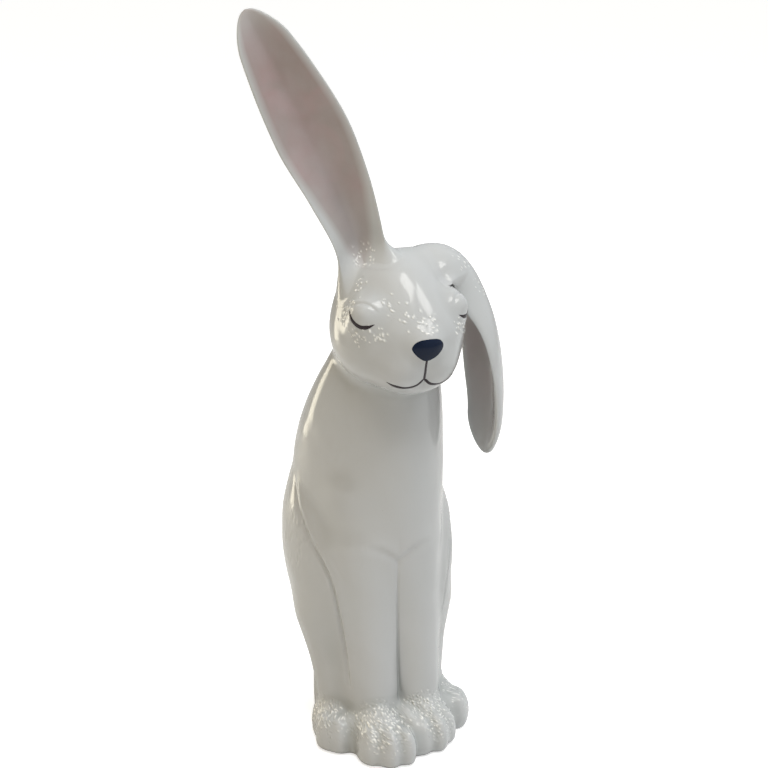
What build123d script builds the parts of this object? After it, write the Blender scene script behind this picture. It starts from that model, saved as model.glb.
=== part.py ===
from build123d import *
import os
import numpy as np

os.makedirs("parts", exist_ok=True)

# A glazed ceramic rabbit that sits upright: one ear stands, the other droops, and the eyes are closed.
# Lengths are in millimetres. The rabbit looks along -Y, +Z is up, and its own left is +X.
# The origin is on the flat foot, under the middle of the body. Heights on the head and its ears are
# counted up from the neck.

# Clay walls and glaze
WALL = 5.0
GLAZE_SKIN = 0.5
FOOT_EDGE = 5.0
VENT_DIAMETER = 9.0
VENT_BACK = 22.0

# Torso: an egg-shaped column, given at nine heights
NECK_HEIGHT = 208.0
TORSO_HALF_WIDTH = 42.0
CHEST_REACH = 40.0
BACK_REACH = 61.0
torso_height_shares = [0, 0.168, 0.337, 0.529, 0.721, 0.875, 0.986, 1.082, 1.178]
torso_width_shares = [0.738, 0.762, 0.845, 0.952, 1, 0.952, 0.869, 0.738, 0.548]
torso_front_shares = [-0.55, -0.575, -0.725, -0.9, -1, -1, -0.95, -0.9, -0.85]
torso_back_shares = [0.754, 0.787, 0.869, 0.967, 1, 0.836, 0.574, 0.31, 0.09]
torso_egg_share = 0.12

# Haunches: a leaning thigh that runs into a shank
THIGH_HALF_WIDTH = 24.0
THIGH_HALF_DEPTH = 36.0
THIGH_HALF_HEIGHT = 57.0
THIGH_LEAN = -14
THIGH_OUT = 25.5
THIGH_BACK = 15.0
THIGH_UP = 110.0
SHANK_OUT = 25.0
SHANK_TOP = 70.0
SHANK_TOP_BACK = 5.0
SHANK_TOP_RADIUS = 20.0
ANKLE_HEIGHT = 20.0
ANKLE_FRONT = 4.0
ANKLE_RADIUS = 13.0
SHANK_BLEND = 14.0
HAUNCH_BLEND = 3.5

# Front legs: two straight columns that fade into the chest, both leaning a little to the rabbit's right
LEG_OUT = 14.0
LEG_TOP = 150.0
LEG_TOP_FRONT = 13.0
LEG_TOP_RADIUS = 15.5
KNEE_HEIGHT = 118.0
KNEE_FRONT = 17.0
KNEE_RADIUS = 16.5
WRIST_HEIGHT = 20.0
WRIST_FRONT = 20.0
WRIST_OUT = 12.8
WRIST_RADIUS = 13.0
LEG_BLEND = 10.0
LEG_SHIFT = 4.5

# Front paws, each with three toes
PAW_HALF_WIDTH = 15.0
PAW_HALF_LENGTH = 21.0
PAW_HALF_HEIGHT = 18.0
PAW_OUT = 13.4
PAW_FRONT = 37.0
RIGHT_PAW_STEP = 0.5
LEFT_PAW_STEP = -6.5
RIGHT_PAW_SHIFT = 4.0
PAW_UP = 8.0
PAW_BLEND = 7.0
TOE_HALF_WIDTH = 6.2
TOE_HALF_LENGTH = 9.0
TOE_HALF_HEIGHT = 12.5
TOE_BLEND = 4.5
toe_out_shares = [0.66, 0.08, -0.56]
toe_front_shares = [0.48, 0.83, 0.83]
WEB_HALF_WIDTH = 9.0
WEB_HALF_LENGTH = 19.0
WEB_HALF_HEIGHT = 16.0

# Hind feet, each with three toes
FOOT_HALF_WIDTH = 12.5
FOOT_HALF_LENGTH = 24.0
FOOT_HALF_HEIGHT = 16.5
FOOT_SPLAY = -15
FOOT_OUT = 32.0
FOOT_FRONT = 8.0
FOOT_BLEND = 6.0
HIND_TOE_HALF_WIDTH = 5.6
HIND_TOE_HALF_LENGTH = 7.5
HIND_TOE_HALF_HEIGHT = 12.0
HIND_TOE_BLEND = 4.5
hind_toe_out_shares = [0.84, 0.48, -0.08]
hind_toe_front_shares = [0.56, 0.83, 0.79]

# Head: skull, cheeks, muzzle, lips, chin, nose bump, closed eyelids and the mound that the ear droops from
SKULL_HALF_WIDTH = 31.0
SKULL_HALF_DEPTH = 34.0
SKULL_HALF_HEIGHT = 34.5
SKULL_UP = 45.5
SKULL_FRONT = 17.0
CHEEK_HALF_WIDTH = 19.5
CHEEK_HALF_DEPTH = 26.0
CHEEK_HALF_HEIGHT = 24.0
CHEEK_OUT = 16.0
CHEEK_FRONT = 25.0
CHEEK_UP = 34.0
CHEEK_BLEND = 12.0
MUZZLE_HALF_WIDTH = 18.5
MUZZLE_HALF_DEPTH = 21.0
MUZZLE_HALF_HEIGHT = 19.5
MUZZLE_FRONT = 40.5
MUZZLE_UP = 32.5
MUZZLE_BLEND = 20.0
LIP_HALF_WIDTH = 12.5
LIP_HALF_DEPTH = 14.5
LIP_HALF_HEIGHT = 12.5
LIP_OUT = 9.5
LIP_FRONT = 45.5
LIP_UP = 23.0
LIP_BLEND = 8.0
CHIN_HALF_WIDTH = 10.0
CHIN_HALF_DEPTH = 12.0
CHIN_HALF_HEIGHT = 6.0
CHIN_FRONT = 42.0
CHIN_UP = 12.5
CHIN_BLEND = 8.0
SNOUT_HALF_WIDTH = 7.5
SNOUT_HALF_DEPTH = 7.0
SNOUT_HALF_HEIGHT = 6.5
SNOUT_FRONT = 57.5
SNOUT_UP = 36.5
SNOUT_BLEND = 8.0
EYELID_HALF_WIDTH = 8.5
EYELID_HALF_HEIGHT = 9.5
EYELID_OUT = 25.0
EYELID_FRONT = 38.0
EYELID_UP = 49.5
EYELID_BLEND = 9.0
MOUND_HALF_WIDTH = 14.0
MOUND_HALF_DEPTH = 15.0
MOUND_HALF_HEIGHT = 13.0
MOUND_OUT = 20.0
MOUND_FRONT = 15.0
MOUND_UP = 65.5
MOUND_BLEND = 10.0
NECK_BLEND = 5.0

# Upright ear, from a root inside the head to the tip
UPRIGHT_LENGTH = 155.0
UPRIGHT_LEAN = 62.0
UPRIGHT_HALF_WIDTH = 20.4
UPRIGHT_CUP = 10.0
UPRIGHT_THICKNESS = 8.0
UPRIGHT_ROOT_OUT = 13.0
UPRIGHT_ROOT_FRONT = 12.0
UPRIGHT_ROOT_UP = 58.0
UPRIGHT_BACK = 14.0
upright_out_shares = [0, 0.08, 0.258, 0.484, 0.744, 1]
upright_back_shares = [0, 0, 0.143, 0.357, 0.643, 1]
upright_up_shares = [0, 0.17, 0.366, 0.562, 0.771, 0.974]
upright_width_shares = [0.75, 0.67, 0.86, 1, 0.84, 0.52]
upright_cup_shares = [0.9, 1.05, 1, 0.7, 0.5, 0.4]
upright_thick_shares = [1.4, 1.12, 1, 0.9, 0.8, 0.7]
upright_facing_share = (-0.3, -1, 0.1)

# Drooping ear, from a root inside the head over the bend and down to the tip
DROOP_LENGTH = 117.0
DROOP_OUT = 50.0
DROOP_HALF_WIDTH = 20.0
DROOP_CUP = 9.0
DROOP_THICKNESS = 9.0
DROOP_ROOT_OUT = 11.0
DROOP_ROOT_FRONT = 14.0
DROOP_SHOULDER_UP = 71.0
DROOP_FRONT = 9.0
droop_out_shares = [0, 0.22, 0.48, 0.73, 0.93, 1, 1, 0.92]
droop_front_shares = [0, 0, 0.15, 0.4, 0.7, 0.9, 1, 0.95]
droop_down_shares = [0.14, 0.01, 0, 0.1, 0.3, 0.53, 0.76, 0.97]
droop_width_shares = [0.8, 0.8, 0.85, 0.95, 1, 1, 0.88, 0.6]
droop_cup_shares = [0.5, 0.6, 0.7, 0.85, 1, 0.9, 0.65, 0.5]
droop_thick_shares = [2, 1.9, 1.5, 1.15, 1, 0.95, 0.85, 0.7]
droop_facing_shares = [(0.2, -0.3, -1), (-0.1, -0.2, -1), (-0.5, 0.15, -0.9), (-0.8, 0.45, -0.5),
                       (-0.95, 0.2, -0.15), (-1, 0.05, 0), (-1, 0, 0), (-1, -0.15, 0)]
ear_level_shares = [0, 0.06, 0.12, 0.18, 0.24, 0.3, 0.36, 0.42, 0.48, 0.54, 0.6, 0.66, 0.73, 0.8, 0.87,
                    0.92, 0.96, 0.985, 0.997]
ear_tip_share = 0.88

# Tail: a round tuft low on the back
TAIL_RADIUS = 14.5
TAIL_UP = 38.0
TAIL_SINK = 2.0

# Nose, eye lines and mouth line: raised marks of coloured glaze
NOSE_HALF_WIDTH = 9.2
nose_across_shares = [0, 0.55, 0.92, 1, 0.72, 0.25]
nose_up_shares = [1, 0.97, 0.82, 0.62, 0.3, 0.04]
NOSE_TOP = 40.8
NOSE_BOTTOM = 29.5
EYE_LINE_LENGTH = 16.0
EYE_LINE_DROP = 7.4
EYE_LINE_WIDTH = 1.6
EYE_LINE_OUT = 30.5
EYE_LINE_FRONT = 43.0
EYE_LINE_UP = 49.0
EYE_LINE_TURN = 41
MOUTH_HALF_WIDTH = 20.0
MOUTH_FORK = 17.5
MOUTH_DIP = 4.4
MOUTH_LINE_WIDTH = 1.4
line_end_share = 0.25
eye_line_across_shares = [-0.46, -0.24, 0.05, 0.31, 0.54]
eye_line_up_shares = [0.66, 0.05, -0.34, -0.34, -0.14]
mouth_across_shares = [0, 0.22, 0.53, 0.81, 1]
mouth_down_shares = [0, 0.8, 1, 0.64, 0.14]

# How finely the outlines are read off the clay form
body_point_count = 96
head_point_count = 48
cavity_point_count = 32
ear_point_count = 24


def step_through(at, places, values):
    """Smooth curve through (place, value) pairs, read at the places in `at`."""
    places = np.asarray(places, float)
    values = np.asarray(values, float)
    slopes = np.gradient(values, places)
    k = np.clip(np.searchsorted(places, at) - 1, 0, len(places) - 2)
    gap = places[k + 1] - places[k]
    t = np.clip((at - places[k]) / gap, 0, 1)
    start = (1 + 2 * t) * (1 - t) ** 2 * values[k] + t * (1 - t) ** 2 * gap * slopes[k]
    end = t * t * (3 - 2 * t) * values[k + 1] + t * t * (t - 1) * gap * slopes[k + 1]
    return start + end


def blend(a, b, width):
    """Union of two signed distances, filleted over `width`."""
    h = np.clip(width - np.abs(a - b), 0, None) / width
    return np.minimum(a, b) - h * h * width / 4


def lump(p, centre, radii, lean=0, splay=0):
    """Signed distance, nearly, to an ellipsoid that leans about X and splays about Z."""
    x, y, z = (p[..., i] - centre[i] for i in range(3))
    tilt = np.radians(lean)
    y, z = np.cos(tilt) * y + np.sin(tilt) * z, np.cos(tilt) * z - np.sin(tilt) * y
    turn = np.radians(splay)
    x, y = np.cos(turn) * x + np.sin(turn) * y, np.cos(turn) * y - np.sin(turn) * x
    near = np.sqrt((x / radii[0]) ** 2 + (y / radii[1]) ** 2 + (z / radii[2]) ** 2)
    slope = np.sqrt((x / radii[0] ** 2) ** 2 + (y / radii[1] ** 2) ** 2 + (z / radii[2] ** 2) ** 2)
    return near * (near - 1) / np.maximum(slope, np.finfo(float).tiny)


def limb(p, top, bottom, top_radius, bottom_radius):
    """Signed distance to a round limb that tapers from top to bottom."""
    top = np.asarray(top, float)
    along = np.asarray(bottom, float) - top
    t = np.clip((p - top) @ along / (along @ along), 0, 1)
    off = np.linalg.norm(p - top - t[..., None] * along, axis=-1)
    return off - (top_radius + (bottom_radius - top_radius) * t)


def torso(p):
    """Signed distance to the column of ellipses that makes the torso."""
    heights = NECK_HEIGHT * np.array(torso_height_shares)
    z = p[..., 2]
    half_width = TORSO_HALF_WIDTH * step_through(z, heights, torso_width_shares)
    front = CHEST_REACH * step_through(z, heights, torso_front_shares)
    back = BACK_REACH * step_through(z, heights, torso_back_shares)
    half_depth = (back - front) / 2
    y = p[..., 1] - (back + front) / 2
    half_width = half_width * (1 + torso_egg_share * np.clip(y / half_depth, -1, 1))
    near = np.hypot(p[..., 0] / half_width, y / half_depth)
    slope = np.hypot(p[..., 0] / half_width ** 2, y / half_depth ** 2)
    side = near * (near - 1) / np.maximum(slope, np.finfo(float).tiny)
    return np.maximum(side, z - heights[-1])


def on_right(p):
    """Fold the rabbit's left half onto its right half, where the paired masses are given."""
    q = np.array(p)
    q[..., 0] = -np.abs(q[..., 0])
    return q


def trunk(p):
    """Torso, haunches and front legs, without the paws and feet."""
    q = on_right(p)
    thigh = lump(q, (-THIGH_OUT, THIGH_BACK, THIGH_UP),
                 (THIGH_HALF_WIDTH, THIGH_HALF_DEPTH, THIGH_HALF_HEIGHT), lean=THIGH_LEAN)
    shank = limb(q, (-SHANK_OUT, SHANK_TOP_BACK, SHANK_TOP), (-SHANK_OUT, -ANKLE_FRONT, ANKLE_HEIGHT),
                 SHANK_TOP_RADIUS, ANKLE_RADIUS)
    wrist = (-WRIST_OUT, -WRIST_FRONT, WRIST_HEIGHT)
    rise = np.clip((p[..., 2] - WRIST_HEIGHT) / (KNEE_HEIGHT - WRIST_HEIGHT), 0, 1)
    leaning = on_right(p + LEG_SHIFT * rise[..., None] * np.array((1, 0, 0)))
    upper = limb(leaning, (-LEG_OUT, -LEG_TOP_FRONT, LEG_TOP), wrist, LEG_TOP_RADIUS, WRIST_RADIUS)
    lower = limb(leaning, (-LEG_OUT, -KNEE_FRONT, KNEE_HEIGHT), wrist, KNEE_RADIUS, WRIST_RADIUS)
    clay = blend(torso(p), blend(thigh, shank, SHANK_BLEND), HAUNCH_BLEND)
    return blend(clay, blend(upper, lower, LEG_BLEND), LEG_BLEND)


def body(p):
    """The trunk with its four feet."""
    q = on_right(p)
    foot = lump(q, (-FOOT_OUT, -FOOT_FRONT, PAW_UP),
                (FOOT_HALF_WIDTH, FOOT_HALF_LENGTH, FOOT_HALF_HEIGHT), splay=FOOT_SPLAY)
    for out, front in zip(hind_toe_out_shares, hind_toe_front_shares):
        toe = (-FOOT_OUT - out * FOOT_HALF_WIDTH, -FOOT_FRONT - front * FOOT_HALF_LENGTH, PAW_UP)
        foot = blend(foot, lump(q, toe, (HIND_TOE_HALF_WIDTH, HIND_TOE_HALF_LENGTH, HIND_TOE_HALF_HEIGHT)),
                     HIND_TOE_BLEND)
    paws = lump(p, (0, -PAW_FRONT, PAW_UP), (WEB_HALF_WIDTH, WEB_HALF_LENGTH, WEB_HALF_HEIGHT))
    for side, middle, step in (-1, PAW_OUT + RIGHT_PAW_SHIFT, RIGHT_PAW_STEP), (1, PAW_OUT, LEFT_PAW_STEP):
        centre = (side * middle, -PAW_FRONT - step, PAW_UP)
        paw = lump(p, centre, (PAW_HALF_WIDTH, PAW_HALF_LENGTH, PAW_HALF_HEIGHT))
        for out, front in zip(toe_out_shares, toe_front_shares):
            toe = (centre[0] + side * out * PAW_HALF_WIDTH, centre[1] - front * PAW_HALF_LENGTH, PAW_UP)
            paw = blend(paw, lump(p, toe, (TOE_HALF_WIDTH, TOE_HALF_LENGTH, TOE_HALF_HEIGHT)), TOE_BLEND)
        paws = blend(paws, paw, TOE_BLEND)
    return blend(blend(trunk(p), foot, FOOT_BLEND), paws, PAW_BLEND)


def head(p):
    """Skull, cheeks, muzzle, lips, chin, nose bump, eyelids and the mound under the drooping ear."""
    q = on_right(p)
    clay = lump(p, (0, -SKULL_FRONT, NECK_HEIGHT + SKULL_UP),
                (SKULL_HALF_WIDTH, SKULL_HALF_DEPTH, SKULL_HALF_HEIGHT))
    cheek = lump(q, (-CHEEK_OUT, -CHEEK_FRONT, NECK_HEIGHT + CHEEK_UP),
                 (CHEEK_HALF_WIDTH, CHEEK_HALF_DEPTH, CHEEK_HALF_HEIGHT))
    muzzle = lump(p, (0, -MUZZLE_FRONT, NECK_HEIGHT + MUZZLE_UP),
                  (MUZZLE_HALF_WIDTH, MUZZLE_HALF_DEPTH, MUZZLE_HALF_HEIGHT))
    lip = lump(q, (-LIP_OUT, -LIP_FRONT, NECK_HEIGHT + LIP_UP),
               (LIP_HALF_WIDTH, LIP_HALF_DEPTH, LIP_HALF_HEIGHT))
    chin = lump(p, (0, -CHIN_FRONT, NECK_HEIGHT + CHIN_UP),
                (CHIN_HALF_WIDTH, CHIN_HALF_DEPTH, CHIN_HALF_HEIGHT))
    snout = lump(p, (0, -SNOUT_FRONT, NECK_HEIGHT + SNOUT_UP),
                 (SNOUT_HALF_WIDTH, SNOUT_HALF_DEPTH, SNOUT_HALF_HEIGHT))
    eyelid = lump(q, (-EYELID_OUT, -EYELID_FRONT, NECK_HEIGHT + EYELID_UP),
                  (EYELID_HALF_WIDTH, EYELID_HALF_WIDTH, EYELID_HALF_HEIGHT))
    mound = lump(p, (MOUND_OUT, -MOUND_FRONT, NECK_HEIGHT + MOUND_UP),
                 (MOUND_HALF_WIDTH, MOUND_HALF_DEPTH, MOUND_HALF_HEIGHT))
    clay = blend(clay, mound, MOUND_BLEND)
    clay = blend(clay, cheek, CHEEK_BLEND)
    clay = blend(clay, muzzle, MUZZLE_BLEND)
    clay = blend(clay, lip, LIP_BLEND)
    clay = blend(clay, chin, CHIN_BLEND)
    clay = blend(clay, snout, SNOUT_BLEND)
    return blend(clay, eyelid, EYELID_BLEND)


def figure(p):
    """The whole clay form, before its foot is cut flat."""
    return blend(body(p), head(p), NECK_BLEND)


def inner_form(p):
    """What the cavity follows: the clay form without the feet, which are cast solid."""
    return blend(trunk(p), head(p), NECK_BLEND)


def first_exits(form, starts, ways, level):
    """How far rays from inside the form go before they reach the given level of its signed distance."""
    far = 2 * BACK_REACH
    least = far / 300
    near = np.zeros(len(starts))
    beyond = np.full(len(starts), far)
    out = np.zeros(len(starts), bool)
    for _ in range(60):
        depth = form(starts + ways * near[:, None]) - level
        step = np.clip(-0.8 * depth, least, far / 12)
        ahead = form(starts + ways * (near + step)[:, None]) - level
        leaves = (ahead > 0) & ~out
        beyond[leaves] = (near + step)[leaves]
        out |= leaves
        near = np.where(out, near, np.minimum(near + step, far))
    for _ in range(16):
        middle = (near + beyond) / 2
        inside = form(starts + ways * middle[:, None]) < level
        near = np.where(inside, middle, near)
        beyond = np.where(inside, beyond, middle)
    return near


# Rays that read the outline at foot level start along a curve inside the paws and feet, so that
# each toe is met square on. Higher up they all start on one axis.
fan_round_shares = [0, 0.08, 0.16, 0.23, 0.29, 0.33, 0.37, 0.42, 0.47, 0.52, 0.58, 0.66, 0.76, 0.88, 1]
fan_out_shares = [0, 0.42, 0.86, 1.15, 1.22, 1.4, 1.68, 1.96, 2.15, 2.15, 2.0, 1.5, 0.8, 0.25, 0]
fan_front_shares = [0.27, 0.5, 0.66, 0.7, 0.6, 0.4, 0.24, 0.12, 0.03, -0.05, -0.11, -0.25, -0.38, -0.43, -0.43]
fan_turn_shares = [0, 0.01, 0.06, 0.16, 0.235, 0.235, 0.225, 0.215, 0.215, 0.29, 0.43, 0.53, 0.64, 0.82, 1]


def axis_y(height):
    """Y of the axis that the outlines are read from, at a height."""
    shares = height / NECK_HEIGHT
    back = BACK_REACH * step_through(shares, torso_height_shares, torso_back_shares)
    front = CHEST_REACH * step_through(shares, torso_height_shares, torso_front_shares)
    return (front + back) / 2 - WALL


def edge_inset(height):
    """How far the outline draws in at a height, where the edge of the flat foot is rounded."""
    below = max(FOOT_EDGE - height, 0)
    return FOOT_EDGE - (FOOT_EDGE ** 2 - below ** 2) ** 0.5


def outline(form, height, count, level=0, feet=False):
    """Points of the form's outline at one height, from the front round the rabbit's right side.

    With feet, the rays fan out to the toes, and the outline draws in along the rounded foot edge.
    """
    round_share = np.arange(count) / count
    half = 1 - np.abs(1 - 2 * round_share)
    side = np.where(round_share > 0.5, -1, 1)
    turn = np.pi * half
    x = np.zeros(count)
    y = np.full(count, axis_y(height))
    if feet:
        high = step_through(height, [PAW_UP, PAW_UP + 2 * PAW_HALF_HEIGHT], [0, 1])
        high = high * high * (3 - 2 * high)
        x = -(1 - high) * PAW_OUT * step_through(half, fan_round_shares, fan_out_shares)
        low_y = -PAW_FRONT * step_through(half, fan_round_shares, fan_front_shares)
        low_turn = np.pi * step_through(half, fan_round_shares, fan_turn_shares)
        y = (1 - high) * low_y + high * y
        turn = (1 - high) * low_turn + high * turn
    read_height = max(height, FOOT_EDGE) if feet else height
    starts = np.stack([x * side, y, np.full(count, read_height)], -1)
    ways = np.stack([-np.sin(turn) * side, -np.cos(turn), np.zeros(count)], -1)
    reach = first_exits(form, starts, ways, level)
    if feet:
        reach = reach - edge_inset(height)
    return (starts + ways * reach[:, None])[:, :2]


def closed_curve(points):
    """One smooth closed curve through the points, evenly timed, so that a loft keeps them in step."""
    times = [k / len(points) for k in range(len(points) + 1)]
    return Edge.make_spline([Vector(*p) for p in points], periodic=True, parameters=times)


def head_top(level):
    """Height of the crown, or of the cavity under it."""
    middle = NECK_HEIGHT + SKULL_UP
    start = np.array([[0, axis_y(NECK_HEIGHT), middle]])
    return middle + first_exits(figure, start, np.array([[0, 0, 1]]), level)[0]


cavity_level_shares = [0, 0.03, 0.08, 0.16, 0.26, 0.37, 0.48, 0.59, 0.69, 0.78, 0.85, 0.91, 0.96, 1]
body_level_shares = [0, 0.004, 0.017, 0.036, 0.058, 0.08, 0.1, 0.118, 0.136, 0.156, 0.185, 0.23, 0.29,
                     0.36, 0.44, 0.52, 0.6, 0.68, 0.75, 0.81, 0.86, 0.9, 0.93, 0.955, 0.98, 1]
head_level_shares = [0, 0.025, 0.045, 0.062, 0.078, 0.096, 0.12, 0.16, 0.22, 0.3, 0.4, 0.5, 0.6, 0.7,
                     0.79, 0.87, 0.93, 0.97, 0.992]

with BuildPart() as body_outside:
    for share in body_level_shares:
        level = share * NECK_HEIGHT
        with BuildSketch(Plane.XY.offset(level)):
            with BuildLine():
                add(closed_curve(outline(figure, level, body_point_count, feet=True)))
            make_face()
    loft()

with BuildPart() as head_outside:
    top = head_top(0)
    for share in head_level_shares:
        level = NECK_HEIGHT + share * (top - NECK_HEIGHT)
        with BuildSketch(Plane.XY.offset(level)):
            with BuildLine():
                add(closed_curve(outline(figure, level, head_point_count)))
            make_face()
    loft()

# The cavities stop one wall short of the floor and of the crown, and meet at the neck.
with BuildPart() as body_cavity:
    for share in cavity_level_shares:
        level = WALL + share * (NECK_HEIGHT - WALL)
        with BuildSketch(Plane.XY.offset(level)):
            with BuildLine():
                add(closed_curve(outline(inner_form, level, cavity_point_count, -WALL)))
            make_face()
    loft()

with BuildPart() as head_cavity:
    top = head_top(-WALL)
    for share in head_level_shares[::2]:
        level = NECK_HEIGHT + share * (top - NECK_HEIGHT)
        with BuildSketch(Plane.XY.offset(level)):
            with BuildLine():
                add(closed_curve(outline(inner_form, level, cavity_point_count, -WALL)))
            make_face()
    loft()

with BuildPart() as body_casting:
    add(body_outside.part)
    add(body_cavity.part, mode=Mode.SUBTRACT)
    with Locations((0, VENT_BACK, 0)):
        Cylinder(VENT_DIAMETER / 2, 2 * WALL, mode=Mode.SUBTRACT)

with BuildPart() as head_casting:
    add(head_outside.part)
    add(head_cavity.part, mode=Mode.SUBTRACT)


def ear_path(places, at):
    """Points of an ear's centre line, and its direction there."""
    spread = np.linspace(0, 1, len(places))
    point = np.stack([step_through(at, spread, places[:, i]) for i in range(3)], -1)
    nudge = 1 / len(places) ** 3
    after = np.stack([step_through(at + nudge, spread, places[:, i]) for i in range(3)], -1)
    before = np.stack([step_through(at - nudge, spread, places[:, i]) for i in range(3)], -1)
    return point, after - before


def ear_section(places, facings, widths, cups, thicks, at):
    """Plane and outline of a cupped slice across an ear: a flat oval bent round its hollow side."""
    spread = np.linspace(0, 1, len(places))
    point, along = ear_path(places, np.array([at]))
    facing = [float(step_through(np.array([at]), spread, facings[:, i])[0]) for i in range(3)]
    plane_along = Vector(*along[0]).normalized()
    hollow = Vector(*facing)
    hollow = (hollow - plane_along * hollow.dot(plane_along)).normalized()
    plane = Plane(origin=Vector(*point[0]), x_dir=hollow.cross(plane_along), z_dir=plane_along)
    end = np.clip((at - ear_tip_share) / (1 - ear_tip_share), 0, 1)
    rounding = np.sqrt(1 - end ** 2)
    half_width = rounding * step_through(at, spread, widths)
    cup = rounding * step_through(at, spread, cups)
    thick = (1 + 3 * rounding) / 4 * step_through(at, spread, thicks) / 2
    turn = np.pi / 2 + 2 * np.pi * np.arange(ear_point_count) / ear_point_count
    bulge = np.sign(np.sin(turn)) * np.abs(np.sin(turn)) ** 0.75
    return plane, np.stack([half_width * np.cos(turn), cup * np.cos(turn) ** 2 + thick * bulge], -1)


upright_places = np.stack([
    -UPRIGHT_ROOT_OUT - UPRIGHT_LEAN * np.array(upright_out_shares),
    -UPRIGHT_ROOT_FRONT + UPRIGHT_BACK * np.array(upright_back_shares),
    NECK_HEIGHT + UPRIGHT_ROOT_UP + UPRIGHT_LENGTH * np.array(upright_up_shares)], -1)
upright_facings = np.array([upright_facing_share] * len(upright_out_shares))

droop_places = np.stack([
    DROOP_ROOT_OUT + DROOP_OUT * np.array(droop_out_shares),
    -DROOP_ROOT_FRONT - DROOP_FRONT * np.array(droop_front_shares),
    NECK_HEIGHT + DROOP_SHOULDER_UP - DROOP_LENGTH * np.array(droop_down_shares)], -1)

with BuildPart() as upright_blank:
    for share in ear_level_shares:
        plane, points = ear_section(upright_places, upright_facings,
                                    UPRIGHT_HALF_WIDTH * np.array(upright_width_shares),
                                    UPRIGHT_CUP * np.array(upright_cup_shares),
                                    UPRIGHT_THICKNESS * np.array(upright_thick_shares), share)
        with BuildSketch(plane):
            with BuildLine():
                add(closed_curve(points))
            make_face()
    loft()

with BuildPart() as droop_blank:
    for share in ear_level_shares:
        plane, points = ear_section(droop_places, np.array(droop_facing_shares),
                                    DROOP_HALF_WIDTH * np.array(droop_width_shares),
                                    DROOP_CUP * np.array(droop_cup_shares),
                                    DROOP_THICKNESS * np.array(droop_thick_shares), share)
        with BuildSketch(plane):
            with BuildLine():
                add(closed_curve(points))
            make_face()
    loft()

with BuildPart() as ear_upright:
    add(upright_blank.part)
    add(head_outside.part, mode=Mode.SUBTRACT)

with BuildPart() as ear_drooping:
    add(droop_blank.part)
    add(head_outside.part, mode=Mode.SUBTRACT)

with BuildPart() as tail:
    with Locations((0, BACK_REACH * torso_back_shares[1] + TAIL_SINK, TAIL_UP)):
        Sphere(TAIL_RADIUS)
    add(body_outside.part, mode=Mode.SUBTRACT)

# The glaze marks are cut from a skin that lies one glaze thickness outside the head.
with BuildPart() as head_skin:
    for share in head_level_shares[1:]:
        level = NECK_HEIGHT + share * (head_top(0) - NECK_HEIGHT)
        with BuildSketch(Plane.XY.offset(level)):
            with BuildLine():
                add(closed_curve(outline(figure, level, head_point_count, GLAZE_SKIN)))
            make_face()
    loft()


def painted_line(across, up, width):
    """Edges round a painted line through the given points, widest midway and thin at both ends."""
    spread = np.linspace(0, 1, len(across))
    at = np.linspace(0, 1, 2 * len(across))
    centre = np.stack([step_through(at, spread, across), step_through(at, spread, up)], -1)
    along = np.gradient(centre, axis=0)
    along /= np.linalg.norm(along, axis=-1, keepdims=True)
    half_width = width / 2 * (line_end_share + (1 - line_end_share) * np.sin(np.pi * at))
    offset = np.stack([-along[:, 1], along[:, 0]], -1) * half_width[:, None]
    one = [Vector(*p) for p in centre + offset]
    other = [Vector(*p) for p in centre - offset]
    return [Edge.make_spline(one), Edge.make_line(one[-1], other[-1]),
            Edge.make_spline(other[::-1]), Edge.make_line(other[0], one[0])]


# The plane stands in front of the nose, up from the neck, and looks along -Y; marks are pushed back from it.
face_front = SNOUT_FRONT + 2 * SNOUT_HALF_DEPTH
face_plane = Plane(origin=(0, -face_front, NECK_HEIGHT), x_dir=(1, 0, 0), z_dir=(0, -1, 0))
mark_depth = face_front - MUZZLE_FRONT + MUZZLE_HALF_DEPTH / 2

nose_x = NOSE_HALF_WIDTH * np.array(nose_across_shares)
nose_y = NOSE_BOTTOM + (NOSE_TOP - NOSE_BOTTOM) * np.array(nose_up_shares)
nose_side = np.stack([nose_x, nose_y], -1)

with BuildPart() as nose:
    with BuildSketch(face_plane):
        with BuildLine():
            add(closed_curve(np.concatenate([nose_side, (nose_side * (-1, 1))[:0:-1]])))
        make_face()
    extrude(amount=-mark_depth)
    add(head_skin.part, mode=Mode.INTERSECT)
    add(head_outside.part, mode=Mode.SUBTRACT)

smile_x = MOUTH_HALF_WIDTH * np.array(mouth_across_shares)
smile_y = MOUTH_FORK - MOUTH_DIP * np.array(mouth_down_shares)

with BuildPart() as mouth_line:
    with BuildSketch(face_plane):
        for side in (-1, 1):
            with BuildLine():
                add(painted_line(side * smile_x, smile_y, MOUTH_LINE_WIDTH))
            make_face()
        with BuildLine():
            add(painted_line([0, 0, 0], np.linspace(NOSE_BOTTOM - GLAZE_SKIN, MOUTH_FORK - GLAZE_SKIN, 3),
                             MOUTH_LINE_WIDTH))
        make_face()
    extrude(amount=-mark_depth)
    add(head_skin.part, mode=Mode.INTERSECT)
    add(head_outside.part, mode=Mode.SUBTRACT)

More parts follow.
